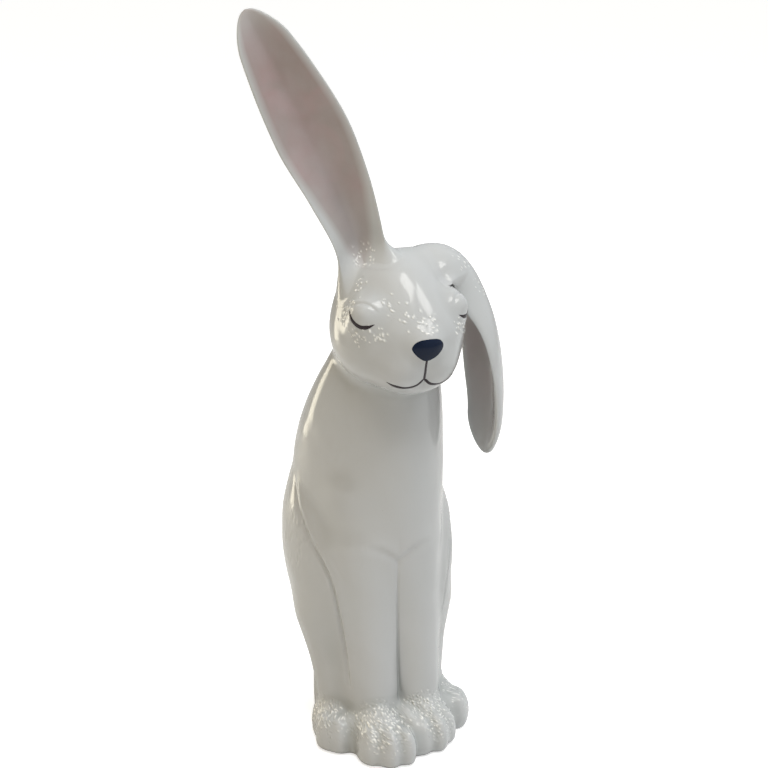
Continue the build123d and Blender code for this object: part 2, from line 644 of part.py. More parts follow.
# Each eye line is drawn on a plane that faces its eyelid from outside.
eye_turn = np.radians(EYE_LINE_TURN)
eye_lines = {}
for name, side in ("eye_line_right", -1), ("eye_line_left", 1):
    across = -side * EYE_LINE_LENGTH * np.array(eye_line_across_shares)
    up = EYE_LINE_DROP * np.array(eye_line_up_shares)
    eye_plane = Plane(origin=(side * EYE_LINE_OUT, -EYE_LINE_FRONT, NECK_HEIGHT + EYE_LINE_UP),
                      x_dir=(np.sin(eye_turn), side * np.cos(eye_turn), 0),
                      z_dir=(side * np.cos(eye_turn), -np.sin(eye_turn), 0))
    with BuildPart() as eye_line:
        with BuildSketch(eye_plane.offset(EYELID_HALF_WIDTH)):
            with BuildLine():
                add(painted_line(across, up, EYE_LINE_WIDTH))
            make_face()
        extrude(amount=-2 * EYELID_HALF_WIDTH)
        add(head_skin.part, mode=Mode.INTERSECT)
        add(head_outside.part, mode=Mode.SUBTRACT)
    eye_lines[name] = eye_line

pieces = {
    "body_casting": body_casting,
    "head_casting": head_casting,
    "ear_upright": ear_upright,
    "ear_drooping": ear_drooping,
    "tail": tail,
    "nose": nose,
    "mouth_line": mouth_line,
    **eye_lines,
}
for name, piece in pieces.items():
    piece.part.label = name
    export_step(piece.part, f"parts/{name}.step")
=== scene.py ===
import bpy
import numpy as np
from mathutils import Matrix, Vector


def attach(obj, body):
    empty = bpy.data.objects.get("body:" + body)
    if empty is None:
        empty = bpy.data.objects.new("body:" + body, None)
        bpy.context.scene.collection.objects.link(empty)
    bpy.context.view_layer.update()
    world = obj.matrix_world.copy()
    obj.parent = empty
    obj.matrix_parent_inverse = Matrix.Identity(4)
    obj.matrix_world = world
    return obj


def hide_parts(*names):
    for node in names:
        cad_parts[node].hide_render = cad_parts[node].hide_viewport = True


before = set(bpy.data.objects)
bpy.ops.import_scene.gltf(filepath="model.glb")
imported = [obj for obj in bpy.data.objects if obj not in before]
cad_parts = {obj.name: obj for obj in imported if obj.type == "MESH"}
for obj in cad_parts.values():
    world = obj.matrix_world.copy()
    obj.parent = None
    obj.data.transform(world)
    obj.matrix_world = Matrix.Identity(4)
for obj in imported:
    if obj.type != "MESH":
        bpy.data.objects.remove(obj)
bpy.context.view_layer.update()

# Body casting: the hollow slip-cast body with chest, haunches, front legs, paws and hind feet. It is white
# earthenware, sponged smooth while damp, with fur scratched and dabbed on before the glaze. Lengths on the
# figurine are millimetres, and MM turns them into the scene's metres.
MM = 0.001
NECK_HEIGHT = 208.0
FOOT_EDGE = 5.0

TORSO_HEIGHTS = (0, 35, 70, 110, 150, 182, 205, 225, 245)
TORSO_HALF_WIDTHS = (31, 32, 35.5, 40, 42, 40, 36.5, 31, 23)
TORSO_FRONTS = (-22, -23, -29, -36, -40, -40, -38, -36, -34)
TORSO_BACKS = (46, 48, 53, 59, 61, 51, 35, 19, 5.5)
TORSO_EGG = 0.12

THIGH_CENTRE, THIGH_RADII, THIGH_LEAN = (-25.5, 15, 110), (24, 36, 57), -14
SHANK_TOP, SHANK_TOP_RADIUS = (-25, 5, 70), 20.0
ANKLE, ANKLE_RADIUS = (-25, -4, 20), 13.0
SHANK_BLEND, HAUNCH_BLEND = 14.0, 3.5
LEG_TOP, LEG_TOP_RADIUS = (-14, -13, 150), 15.5
KNEE, KNEE_RADIUS = (-14, -17, 118), 16.5
WRIST, WRIST_RADIUS = (-12.8, -20, 20), 13.0
LEG_BLEND, LEG_SHIFT = 10.0, 4.5

FOOT_UP = 8.0
PAW_RADII, PAW_BLEND = (15, 21, 18), 7.0
RIGHT_PAW, LEFT_PAW = (-17.4, -37.5), (13.4, -30.5)
TOE_RADII, TOE_BLEND = (6.2, 9, 12.5), 4.5
TOE_OUTS, TOE_FRONTS = (9.9, 1.2, -8.4), (10.1, 17.4, 17.4)
WEB_CENTRE, WEB_RADII = (0, -37, FOOT_UP), (9, 19, 16)
HIND_CENTRE, HIND_RADII, HIND_SPLAY, HIND_BLEND = (-32, -8, FOOT_UP), (12.5, 24, 16.5), -15, 6.0
HIND_TOE_RADII, HIND_TOE_BLEND = (5.6, 7.5, 12), 4.5
HIND_TOE_OUTS, HIND_TOE_FRONTS = (10.5, 6.0, -1.0), (13.4, 19.9, 19.0)

# The head's masses are given here too, because body and head were one surface once the seam was sponged.
# Each has its centre, its radii, how wide it blends with those before it, and whether there are two of it.
SKULL_CENTRE, SKULL_RADII = (0, -17, 253.5), (31, 34, 34.5)
HEAD_MASSES = {
    "mound under the drooping ear": ((20, -15, 273.5), (14, 15, 13), 10.0, False),
    "cheeks": ((-16, -25, 242), (19.5, 26, 24), 12.0, True),
    "muzzle": ((0, -40.5, 240.5), (18.5, 21, 19.5), 20.0, False),
    "lips": ((-9.5, -45.5, 231), (12.5, 14.5, 12.5), 8.0, True),
    "chin": ((0, -42, 220.5), (10, 12, 6), 8.0, False),
    "snout": ((0, -57.5, 244.5), (7.5, 7, 6.5), 8.0, False),
    "eyelids": ((-25, -38, 257.5), (8.5, 8.5, 9.5), 9.0, True)}
NECK_BLEND = 5.0


def smooth_through(at, places, values):
    """Curve through (place, value) pairs: cubic pieces that have the mean slope at each pair."""
    places, values = np.asarray(places, float), np.asarray(values, float)
    slopes = np.gradient(values, places)
    k = np.clip(np.searchsorted(places, at) - 1, 0, len(places) - 2)
    gap = places[k + 1] - places[k]
    t = np.clip((at - places[k]) / gap, 0, 1)
    start = (1 + 2 * t) * (1 - t) ** 2 * values[k] + t * (1 - t) ** 2 * gap * slopes[k]
    end = t * t * (3 - 2 * t) * values[k + 1] + t * t * (t - 1) * gap * slopes[k + 1]
    return start + end


def blend(a, b, width):
    """Smaller of two heights, less a parabola where they differ by under the width: a filleted union."""
    h = np.clip(width - np.abs(a - b), 0, None) / width
    return np.minimum(a, b) - h * h * width / 4


def lump(p, centre, radii, lean=0, splay=0):
    """Height above an ellipsoid: k - 1 over the slope of k, where the point lies on the ellipsoid grown k
    times. The ellipsoid leans about X and is splayed about Z."""
    x, y, z = (p[..., i] - centre[i] for i in range(3))
    tilt, turn = np.radians(lean), np.radians(splay)
    y, z = np.cos(tilt) * y + np.sin(tilt) * z, np.cos(tilt) * z - np.sin(tilt) * y
    x, y = np.cos(turn) * x + np.sin(turn) * y, np.cos(turn) * y - np.sin(turn) * x
    near = np.sqrt((x / radii[0]) ** 2 + (y / radii[1]) ** 2 + (z / radii[2]) ** 2)
    slope = np.sqrt((x / radii[0] ** 2) ** 2 + (y / radii[1] ** 2) ** 2 + (z / radii[2] ** 2) ** 2)
    return near * (near - 1) / np.maximum(slope, 1e-9)


def limb(p, top, bottom, top_radius, bottom_radius):
    """Height above a round limb: distance to its centre line, less a radius that tapers along it."""
    top = np.asarray(top, float)
    along = np.asarray(bottom, float) - top
    t = np.clip((p - top) @ along / (along @ along), 0, 1)
    off = np.linalg.norm(p - top - t[..., None] * along, axis=-1)
    return off - (top_radius + (bottom_radius - top_radius) * t)


def fold_right(p):
    """The point, or its mirror image, on the rabbit's right."""
    return np.stack([-np.abs(p[..., 0]), p[..., 1], p[..., 2]], -1)


def trunk(p):
    """Torso of ellipses that are wider behind, joined to thigh, shank and front leg on each side."""
    z = p[..., 2]
    front = smooth_through(z, TORSO_HEIGHTS, TORSO_FRONTS)
    back = smooth_through(z, TORSO_HEIGHTS, TORSO_BACKS)
    half_depth = (back - front) / 2
    y = p[..., 1] - (back + front) / 2
    half_width = smooth_through(z, TORSO_HEIGHTS, TORSO_HALF_WIDTHS)
    half_width = half_width * (1 + TORSO_EGG * np.clip(y / half_depth, -1, 1))
    near = np.hypot(p[..., 0] / half_width, y / half_depth)
    slope = np.hypot(p[..., 0] / half_width ** 2, y / half_depth ** 2)
    torso = np.maximum(near * (near - 1) / np.maximum(slope, 1e-9), z - TORSO_HEIGHTS[-1])
    q = fold_right(p)
    thigh = lump(q, THIGH_CENTRE, THIGH_RADII, lean=THIGH_LEAN)
    shank = limb(q, SHANK_TOP, ANKLE, SHANK_TOP_RADIUS, ANKLE_RADIUS)
    rise = np.clip((z - WRIST[2]) / (KNEE[2] - WRIST[2]), 0, 1)
    leaning = fold_right(p + LEG_SHIFT * rise[..., None] * np.array((1, 0, 0)))
    upper = limb(leaning, LEG_TOP, WRIST, LEG_TOP_RADIUS, WRIST_RADIUS)
    lower = limb(leaning, KNEE, WRIST, KNEE_RADIUS, WRIST_RADIUS)
    clay = blend(torso, blend(thigh, shank, SHANK_BLEND), HAUNCH_BLEND)
    return blend(clay, blend(upper, lower, LEG_BLEND), LEG_BLEND)


def head(p):
    """Skull joined to its other masses one after another."""
    q = fold_right(p)
    clay = lump(p, SKULL_CENTRE, SKULL_RADII)
    for centre, radii, width, paired in HEAD_MASSES.values():
        clay = blend(clay, lump(q if paired else p, centre, radii), width)
    return clay


def upper_clay(p):
    """Trunk and head, joined at the neck."""
    return blend(trunk(p), head(p), NECK_BLEND)


def lower_clay(p):
    """Trunk with its two hind feet and its two paws, each with three toes."""
    q = fold_right(p)
    foot = lump(q, HIND_CENTRE, HIND_RADII, splay=HIND_SPLAY)
    for out, front in zip(HIND_TOE_OUTS, HIND_TOE_FRONTS):
        toe = (HIND_CENTRE[0] - out, HIND_CENTRE[1] - front, FOOT_UP)
        foot = blend(foot, lump(q, toe, HIND_TOE_RADII), HIND_TOE_BLEND)
    paws = lump(p, WEB_CENTRE, WEB_RADII)
    for side, (across, along) in (-1, RIGHT_PAW), (1, LEFT_PAW):
        paw = lump(p, (across, along, FOOT_UP), PAW_RADII)
        for out, front in zip(TOE_OUTS, TOE_FRONTS):
            toe = (across + side * out, along - front, FOOT_UP)
            paw = blend(paw, lump(p, toe, TOE_RADII), TOE_BLEND)
        paws = blend(paws, paw, TOE_BLEND)
    return blend(blend(trunk(p), foot, HIND_BLEND), paws, PAW_BLEND)


LONGEST_REACH, SHORTEST_STRIDE, LONGEST_STRIDE = 130.0, 0.12, 12.0
STRIDE_SHARE, STRIDES, HALVINGS = 0.8, 400, 9


def reach_out(form, starts, ways):
    """How far each ray goes before it leaves the clay: strides by a share of the depth it is at, the last of
    them halved again and again."""
    shape = starts.shape[:-1]
    starts, ways = starts.reshape(-1, 3), np.broadcast_to(ways, starts.shape).reshape(-1, 3)
    at, inner = np.zeros(len(starts)), np.zeros(len(starts))
    outer = np.full(len(starts), LONGEST_REACH)
    moving = np.arange(len(starts))
    for _ in range(STRIDES):
        height = form(starts[moving] + ways[moving] * at[moving, None])
        outside = height > 0
        outer[moving[outside]] = at[moving[outside]]
        moving, height = moving[~outside], height[~outside]
        inner[moving] = at[moving]
        at[moving] += np.clip(-STRIDE_SHARE * height, SHORTEST_STRIDE, LONGEST_STRIDE)
        moving = moving[at[moving] < LONGEST_REACH]
        if not len(moving):
            break
    for _ in range(HALVINGS):
        middle = (inner + outer) / 2
        inside = form(starts + ways * middle[:, None]) < 0
        inner, outer = np.where(inside, middle, inner), np.where(inside, outer, middle)
    return inner.reshape(shape)


NUDGE = 0.3


def outward(form, p):
    """Unit slope of the clay's height, from its rise over a small step along each axis."""
    slope = np.stack([form(p + NUDGE * e) - form(p - NUDGE * e) for e in np.eye(3)], -1)
    return slope / np.linalg.norm(slope, axis=-1, keepdims=True)


# Round the foot the rays start along a curve inside the paws, so that each toe is met square on. At shares
# of half a round, they start so far out and so far forward, and go that way.
COLUMNS = 480
FAN_WIDTH, FAN_DEPTH, FAN_TOP, AXIS_BACK = 13.4, 37.0, 44.0, 5.0
FAN_ROUND = (0, 0.08, 0.16, 0.23, 0.29, 0.33, 0.37, 0.42, 0.47, 0.52, 0.58, 0.66, 0.76, 0.88, 1)
FAN_OUT = FAN_WIDTH * np.array((0, 0.42, 0.86, 1.15, 1.22, 1.4, 1.68, 1.96, 2.15,
                                2.15, 2.0, 1.5, 0.8, 0.25, 0))
FAN_FORWARD = -FAN_DEPTH * np.array((0.27, 0.5, 0.66, 0.7, 0.6, 0.4, 0.24, 0.12, 0.03,
                                     -0.05, -0.11, -0.25, -0.38, -0.43, -0.43))
FAN_TURN = np.pi * np.array((0, 0.01, 0.06, 0.16, 0.235, 0.235, 0.225, 0.215, 0.215,
                             0.29, 0.43, 0.53, 0.64, 0.82, 1))


def body_skin(heights):
    """Grid of points where fanned rays leave the clay at each height, drawn in to round the foot's edge."""
    share = np.arange(COLUMNS) / COLUMNS
    half, side = 1 - np.abs(1 - 2 * share), np.where(share > 0.5, -1, 1)
    z = np.asarray(heights, float)[:, None]
    axis = (smooth_through(z, TORSO_HEIGHTS, TORSO_FRONTS)
            + smooth_through(z, TORSO_HEIGHTS, TORSO_BACKS)) / 2 - AXIS_BACK
    high = smooth_through(z, (FOOT_UP, FAN_TOP), (0, 1))
    high = high * high * (3 - 2 * high)
    x = -(1 - high) * smooth_through(half, FAN_ROUND, FAN_OUT) * side
    y = (1 - high) * smooth_through(half, FAN_ROUND, FAN_FORWARD) + high * axis
    turn = (1 - high) * smooth_through(half, FAN_ROUND, FAN_TURN) + high * np.pi * half
    starts = np.stack([x, y, np.maximum(z, FOOT_EDGE) + 0 * x], -1)
    ways = np.stack([-np.sin(turn) * side, -np.cos(turn), 0 * x], -1)
    low = z[:, 0] < FAN_TOP
    reach = np.concatenate([reach_out(lower_clay, starts[low], ways[low]),
                            reach_out(upper_clay, starts[~low], ways[~low])])
    below = np.clip(FOOT_EDGE - z, 0, None)
    reach = reach - (FOOT_EDGE - np.sqrt(FOOT_EDGE ** 2 - below ** 2))
    skin = starts + ways * reach[..., None]
    skin[..., 2] = z
    return skin


def grid_normals(grid, before=None, after=None):
    """Unit normals of a grid that closes on itself along its rows: its step up crossed with its step across.
    The row beyond either end may be given."""
    lead, trail = ([] if row is None else [row[None]] for row in (before, after))
    full = np.concatenate(lead + [grid] + trail)
    across = np.roll(full, -1, 1) - np.roll(full, 1, 1)
    normal = np.cross(np.gradient(full, axis=0), across)
    size = np.linalg.norm(normal, axis=-1, keepdims=True)
    normal = normal / np.maximum(size, 1e-12)
    return normal[len(lead):len(lead) + len(grid)]


FUR_FADE, STROKE_CURL, BURR_HEIGHT, BURR_OUT, MOST_OVERLAP = 2.2, 0.25, 0.5, 1.7, 1.5


def scratch(grid, normals, places, reach, flow, count, seed, depth=0.34, width=0.5, length=3.6, stray=0.35):
    """Fur strokes scratched into damp clay near some places: short grooves, each a bell across, with a low
    burr beside it, and an arch along, laid at random along the flow. A depth below zero raises them as dabs.
    Returns the displaced grid and how far each point rose."""
    chance = np.random.default_rng(seed)
    mask = np.zeros(grid.shape[:2])
    for place in places:
        away = np.linalg.norm((grid - np.array(place)) / np.array(reach), axis=-1)
        mask = np.maximum(mask, np.clip(FUR_FADE * (1 - away), 0, 1))
    spread = np.linalg.norm(np.cross(np.gradient(grid, axis=0), np.gradient(grid, axis=1)), axis=-1)
    weight = (mask * spread).ravel()
    flat, flat_normals = grid.reshape(-1, 3), normals.reshape(-1, 3)
    near = np.flatnonzero(mask.ravel() > 0)
    spots, lift = flat[near], np.zeros(len(flat))
    for pick in chance.choice(len(flat), count, p=weight / weight.sum()):
        n = flat_normals[pick]
        way = np.array(flow, float) + chance.normal(0, stray, 3)
        way -= n * (way @ n)
        way /= np.linalg.norm(way)
        half, narrow = length / 2 * chance.uniform(0.6, 1.3), width * chance.uniform(0.8, 1.3)
        off = spots - flat[pick]
        close = np.flatnonzero((off * off).sum(-1) < half * half * 1.3)
        off = off[close]
        along = off @ way / half
        across = np.abs(off @ np.cross(n, way) + STROKE_CURL * half * along ** 2) / narrow
        groove = np.exp(-across ** 2) - BURR_HEIGHT * np.exp(-(across - BURR_OUT) ** 2 * 1.6)
        lift[near[close]] -= depth * np.clip(1 - along ** 2, 0, None) * groove
    most = MOST_OVERLAP * abs(depth)
    lift = (np.clip(lift, -most, most) * np.sqrt(mask.ravel())).reshape(mask.shape)
    return grid + normals * lift[..., None], lift


def furred(grid, normals, patches):
    """Grid with patches of strokes laid one over another, and how far each point rose in all."""
    fur = np.zeros(grid.shape[:2])
    for places, reach, flow, count, seed, stroke in patches:
        grid, lift = scratch(grid, normals, places, reach, flow, count, seed, **stroke)
        fur = fur + lift
    return grid, fur


def shade_and_highlight(painted_shade, relief, full=0.3):
    """Per-point values for glaze over fur relief: painted shade, deeper in the strokes, and painted highlight
    where they rise.
    """
    return {"painted_shade": np.clip(painted_shade + 0.25 * np.clip(-relief / full, 0, 1), 0, 1), "tint": 0 * painted_shade,
            "painted_highlight": np.clip(relief / full, 0, 1) ** 2}


CREASE_STEPS, FAR_WALL = 80, 6.0


def crease(grid, normals, path, width, depth, lip, lip_width=6.0):
    """Crease pressed along a path near the surface: a bell-shaped groove, deepest midway along, with a lip
    that swells on its left and dies away over its own width. A wall beyond FAR_WALL is pressed less."""
    at = np.linspace(0, 1, CREASE_STEPS)
    spread = np.linspace(0, 1, len(path))
    line = np.stack([smooth_through(at, spread, np.array(path)[:, i]) for i in range(3)], -1)
    ways = np.gradient(line, axis=0)
    ways /= np.linalg.norm(ways, axis=-1, keepdims=True)
    flat, flat_normals = grid.reshape(-1, 3), normals.reshape(-1, 3)
    room = 3 * max(width, lip_width if lip else 0)
    near = np.flatnonzero(((flat > line.min(0) - room) & (flat < line.max(0) + room)).all(-1))
    off = flat[near][:, None] - line
    nearest = (off ** 2).sum(-1).argmin(1)
    off = off[np.arange(len(near)), nearest]
    side = (off * np.cross(flat_normals[near], ways[nearest])).sum(-1)
    beyond = (off * ways[nearest]).sum(-1)
    deep = np.abs((off * flat_normals[near]).sum(-1))
    press = np.sin(np.pi * np.clip(at[nearest], 0.02, 0.98)) ** 0.5 * np.exp(-(beyond / width) ** 2)
    press *= np.clip(2 - deep / FAR_WALL, 0, 1)
    groove = -depth * np.exp(-(side / width) ** 2)
    swell = lip * np.exp(-(side / lip_width) ** 2) * np.clip(side / width, 0, 1)
    moved = flat.copy()
    moved[near] += flat_normals[near] * (press * (groove + swell))[:, None]
    return moved.reshape(grid.shape)


def ripple(p, size=0.2):
    """Slight waves that sponging leaves: a sum of slanted sines about 15 to 30 mm long."""
    x, y, z = p[..., 0], p[..., 1], p[..., 2]
    waves = (np.sin(x / 4.1 + z / 5.3 + 1.0) + np.sin(y / 3.7 - z / 6.1 + 2.0)
             + np.sin(x / 6.7 - y / 5.9 + z / 3.3) + 0.8 * np.sin(x / 3.1 + y / 4.7 + z / 9.0 + 4.0))
    return size / 4 * waves


# Painted shade: the glaze is darkened in hollows and creases, by how deep they are.
SHADE_STEP, SHADE_GAIN, SHADE_LOSS = 2.5, 2.2, 0.12


def painted_hollow_shade(form, p, normals):
    """Painted shade in hollows, 0 to 1: how far the clay's height one step out falls short of the step."""
    return np.clip((SHADE_STEP - form(p + normals * SHADE_STEP)) / SHADE_STEP * SHADE_GAIN - SHADE_LOSS, 0, 1)


def flat_end(*rings):
    """End of a grid closed by rings that lead in from its end row to their own middle, with hard edges."""
    return np.array(rings, float).reshape(len(rings), -1, 3), np.mean(rings[-1], axis=0), True


def round_end(tip):
    """End of a grid closed smoothly by one point."""
    return np.zeros((0, 0, 3)), np.asarray(tip, float), False


def grid_piece(name, grid, normals, values, first, last):
    """Mesh object from a grid of points in millimetres, closed along its rows, with an end at each side:
    rings and a tip, with hard or soft edges. values are per-point numbers by name, and are 0 on the ends."""
    rows, columns = grid.shape[:2]
    index = np.arange(rows * columns).reshape(rows, columns)
    nxt = np.roll(index, -1, 1)
    quads = [np.stack([index[:-1], index[1:], nxt[1:], nxt[:-1]], -1).reshape(-1, 4)]
    points, ups, total = [grid.reshape(-1, 3)], [normals.reshape(-1, 3)], rows * columns
    hard, triangles, hard_tips = [], [], []
    for (rings, tip, sharp), edge, flip in (first, index[0], True), (last, index[-1], False):
        added = np.arange(len(rings) * columns).reshape(-1, columns) + total
        cap = np.concatenate([edge[None], added])
        cap_next = np.roll(cap, -1, 1)
        quad = np.stack([cap[:-1], cap[1:], cap_next[1:], cap_next[:-1]], -1).reshape(-1, 4)
        quads.append(quad[:, ::-1] if flip else quad)
        points += [rings.reshape(-1, 3), tip[None]]
        total += len(rings) * columns + 1
        fan = np.stack([cap[-1], np.full(columns, total - 1), cap_next[-1]], -1)
        triangles.append(fan[:, ::-1] if flip else fan)
        ups += [np.zeros((len(rings) * columns, 3)), normals[0 if flip else -1].mean(0)[None]]
        hard.append(np.full(len(quad), sharp))
        hard_tips.append(np.full(columns, sharp))
    points, ups = np.concatenate(points), np.concatenate(ups)
    quads, triangles = np.concatenate(quads), np.concatenate(triangles)
    hard = np.concatenate([np.zeros((rows - 1) * columns, bool)] + hard)
    corners = []
    for faces, sharp in (quads, hard), (triangles, np.concatenate(hard_tips)):
        own = np.cross(points[faces[:, 1]] - points[faces[:, 0]], points[faces[:, 2]] - points[faces[:, 1]])
        own /= np.maximum(np.linalg.norm(own, axis=-1, keepdims=True), 1e-12)
        corners.append(np.where(sharp[:, None, None], own[:, None], ups[faces]).reshape(-1, 3))
    mesh = bpy.data.meshes.new(name)
    mesh.from_pydata((points * MM).tolist(), [], quads.tolist() + triangles.tolist())
    mesh.polygons.foreach_set("use_smooth", np.ones(len(mesh.polygons), bool))
    for key, value in values.items():
        layer = mesh.attributes.new(key, "FLOAT", "POINT")
        filled = np.zeros(total, np.float32)
        filled[:value.size] = value.ravel()
        layer.data.foreach_set("value", filled)
    mesh.update()
    mesh.normals_split_custom_set(np.concatenate(corners).tolist())
    piece = bpy.data.objects.new(name, mesh)
    bpy.context.collection.objects.link(piece)
    return piece


# Noise scales are per metre. The three colours multiply the glaze where it is clouded, specked or sprayed.
CLOUD_SCALE, SPECK_SCALE, SPRAY_SCALE, HUE_SCALE, GLOSS_SCALE, WAVE_SCALE = 22, 1400, 60, 38, 90, 130
CLOUDED, SPECKED, SPRAYED = (0.9, 0.955, 0.93, 1), (0.66, 0.6, 0.5, 1), (0.9, 1.0, 0.97, 1)
CLOUD_SHARE, SPECK_SHARE, SHADE_SHARE = 0.16, 0.35, 0.75
SMOOTHEST, ROUGHEST = 0.1, 0.17
WAVE_STRENGTH, WAVE_HEIGHT = 0.12, 0.6


def shared_glaze():
    """Node group for fired gloss glaze: colour varies a little, takes painted shade in hollows and a
    painted highlight on raised fur; the tint is cloudy like airbrushing; roughness varies; the bump holds
    slight waves."""
    group = bpy.data.node_groups.new("Fired glaze", "ShaderNodeTree")
    hue, share = "NodeSocketColor", "NodeSocketFloat"
    for label, kind in (("Colour", hue), ("Painted shade colour", hue), ("Tint colour", hue), ("Painted highlight colour", hue),
                        ("Painted shade", share), ("Tint", share), ("Painted highlight", share)):
        group.interface.new_socket(label, in_out="INPUT", socket_type=kind)
    for label, kind in ("Colour", hue), ("Roughness", share), ("Normal", "NodeSocketVector"):
        group.interface.new_socket(label, in_out="OUTPUT", socket_type=kind)
    nodes, links = group.nodes, group.links
    inside, outside = nodes.new("NodeGroupInput"), nodes.new("NodeGroupOutput")
    place = nodes.new("ShaderNodeTexCoord")

    def noise(scale, detail, distortion=0.0):
        """Noise over the piece's own position."""
        node = nodes.new("ShaderNodeTexNoise")
        node.inputs["Scale"].default_value = scale
        node.inputs["Detail"].default_value = detail
        node.inputs["Distortion"].default_value = distortion
        links.new(place.outputs["Object"], node.inputs["Vector"])
        return node.outputs["Fac"]

    def ranged(value, low, high, to_low, to_high):
        """Value carried from one range to another, and held inside it."""
        node = nodes.new("ShaderNodeMapRange")
        for key, number in (("From Min", low), ("From Max", high), ("To Min", to_low), ("To Max", to_high)):
            node.inputs[key].default_value = number
        links.new(value, node.inputs["Value"])
        return node.outputs["Result"]

    def mixed(amount, a, b, kind="MIX"):
        """Colour a, mixed with or multiplied by colour b by an amount."""
        node = nodes.new("ShaderNodeMix")
        node.data_type, node.blend_type = "RGBA", kind
        links.new(amount, node.inputs["Factor"])
        for value, socket in (a, node.inputs[6]), (b, node.inputs[7]):
            if isinstance(value, tuple):
                socket.default_value = value
            else:
                links.new(value, socket)
        return node.outputs[2]

    def product(a, b):
        """Two values multiplied."""
        node = nodes.new("ShaderNodeMath")
        node.operation = "MULTIPLY"
        for value, socket in (a, node.inputs[0]), (b, node.inputs[1]):
            if isinstance(value, float):
                socket.default_value = value
            else:
                links.new(value, socket)
        return node.outputs[0]

    cloudy = ranged(noise(CLOUD_SCALE, 3, 0.6), 0.3, 0.7, 0, 1)
    specks = ranged(noise(SPECK_SCALE, 2), 0.7, 0.8, 0, SPECK_SHARE)
    tint = product(inside.outputs["Tint"], ranged(noise(SPRAY_SCALE, 4), 0.25, 0.75, 0.8, 1.0))
    airbrushed = mixed(ranged(noise(HUE_SCALE, 3, 1.0), 0.35, 0.65, 0, 1), inside.outputs["Tint colour"],
                       SPRAYED, "MULTIPLY")
    colour = mixed(tint, inside.outputs["Colour"], airbrushed)
    # Painted shade: the shade colour goes over hollows and fur grooves.
    colour = mixed(product(inside.outputs["Painted shade"], SHADE_SHARE), colour, inside.outputs["Painted shade colour"])
    colour = mixed(product(cloudy, CLOUD_SHARE), colour, CLOUDED, "MULTIPLY")
    colour = mixed(specks, colour, SPECKED, "MULTIPLY")
    # Painted highlight: a pale colour on raised fur stands in for glints of light.
    colour = mixed(inside.outputs["Painted highlight"], colour, inside.outputs["Painted highlight colour"])
    links.new(colour, outside.inputs["Colour"])
    links.new(ranged(noise(GLOSS_SCALE, 5), 0.3, 0.7, SMOOTHEST, ROUGHEST), outside.inputs["Roughness"])

    waves = nodes.new("ShaderNodeBump")
    waves.inputs["Strength"].default_value = WAVE_STRENGTH
    waves.inputs["Distance"].default_value = WAVE_HEIGHT * MM
    links.new(noise(WAVE_SCALE, 2), waves.inputs["Height"])
    links.new(waves.outputs["Normal"], outside.inputs["Normal"])
    return group


FIRED_GLAZE = shared_glaze()
WHITE = (0.535, 0.545, 0.55, 1)
# The next two whites are painted shade for hollows and a painted highlight for raised fur.
WHITE_SHADE = (0.345, 0.36, 0.35, 1)
WHITE_HIGHLIGHT = (0.93, 0.93, 0.9, 1)
GLAZE_IOR, COAT_ROUGHNESS = 1.52, 0.1


def glaze(name, colour, shade_colour, tint_colour=WHITE, gloss=0.5, coat=0.4):
    """Material for one glaze: the shared surface on a glossy shader with a thin clear coat."""
    material = bpy.data.materials.new(name)
    material.use_nodes = True
    nodes, links = material.node_tree.nodes, material.node_tree.links
    shader = nodes["Principled BSDF"]
    surface = nodes.new("ShaderNodeGroup")
    surface.node_tree = FIRED_GLAZE
    # Painted shade and painted highlight come in as point values on each mesh.
    for label, value in (("Colour", colour), ("Painted shade colour", shade_colour), ("Tint colour", tint_colour),
                         ("Painted highlight colour", WHITE_HIGHLIGHT)):
        surface.inputs[label].default_value = value
    for label, key in ("Painted shade", "painted_shade"), ("Tint", "tint"), ("Painted highlight", "painted_highlight"):
        value = nodes.new("ShaderNodeAttribute")
        value.attribute_name = key
        links.new(value.outputs["Fac"], surface.inputs[label])
    links.new(surface.outputs["Colour"], shader.inputs["Base Color"])
    links.new(surface.outputs["Roughness"], shader.inputs["Roughness"])
    links.new(surface.outputs["Normal"], shader.inputs["Normal"])
    shader.inputs["IOR"].default_value = GLAZE_IOR
    shader.inputs["Specular IOR Level"].default_value = gloss
    shader.inputs["Coat Weight"].default_value = coat
    shader.inputs["Coat Roughness"].default_value = COAT_ROUGHNESS
    return material


white_glaze = glaze("White gloss glaze", WHITE, WHITE_SHADE)

EDGE_ROWS, PAW_ROWS, BODY_ROWS = 7, 98, 84
edge_heights = FOOT_EDGE * (1 - np.cos(np.linspace(0, np.pi / 2, EDGE_ROWS)))[:-1]
body_heights = np.concatenate([edge_heights, np.linspace(FOOT_EDGE, FAN_TOP - 0.5, PAW_ROWS),
                               np.linspace(FAN_TOP, NECK_HEIGHT, BODY_ROWS)])
body_grid = body_skin(body_heights)

HEAD_ROWS = 190
HEAD_MIDDLE = np.array((0, -20.0, 247.0))


def head_skin(seam):
    """Grid of points where rays from the head's middle leave it, from the neck seam up to the crown."""
    off = seam - HEAD_MIDDLE
    flat = np.hypot(off[:, 0], off[:, 1])
    low = np.arctan2(off[:, 2], flat)
    rise = low + (np.pi / 2 - low) * np.linspace(0, 1, HEAD_ROWS)[:, None]
    level = off[:, :2] / flat[:, None]
    ways = np.concatenate([np.cos(rise)[..., None] * level, np.sin(rise)[..., None]], -1)
    starts = np.broadcast_to(HEAD_MIDDLE, ways.shape)
    skin = starts + ways * reach_out(upper_clay, starts, ways)[..., None]
    skin[0] = seam
    return skin


head_grid = head_skin(body_grid[-1])
body_normals = grid_normals(body_grid, after=head_grid[1])
head_normals = grid_normals(head_grid, before=body_grid[-2])
head_normals[-1] = (0, 0, 1)

# Painted shade in the body's hollows and creases.
body_shade = np.where(body_grid[..., 2] > FAN_TOP, painted_hollow_shade(upper_clay, body_grid, body_normals),
                     painted_hollow_shade(lower_clay, body_grid, body_normals))

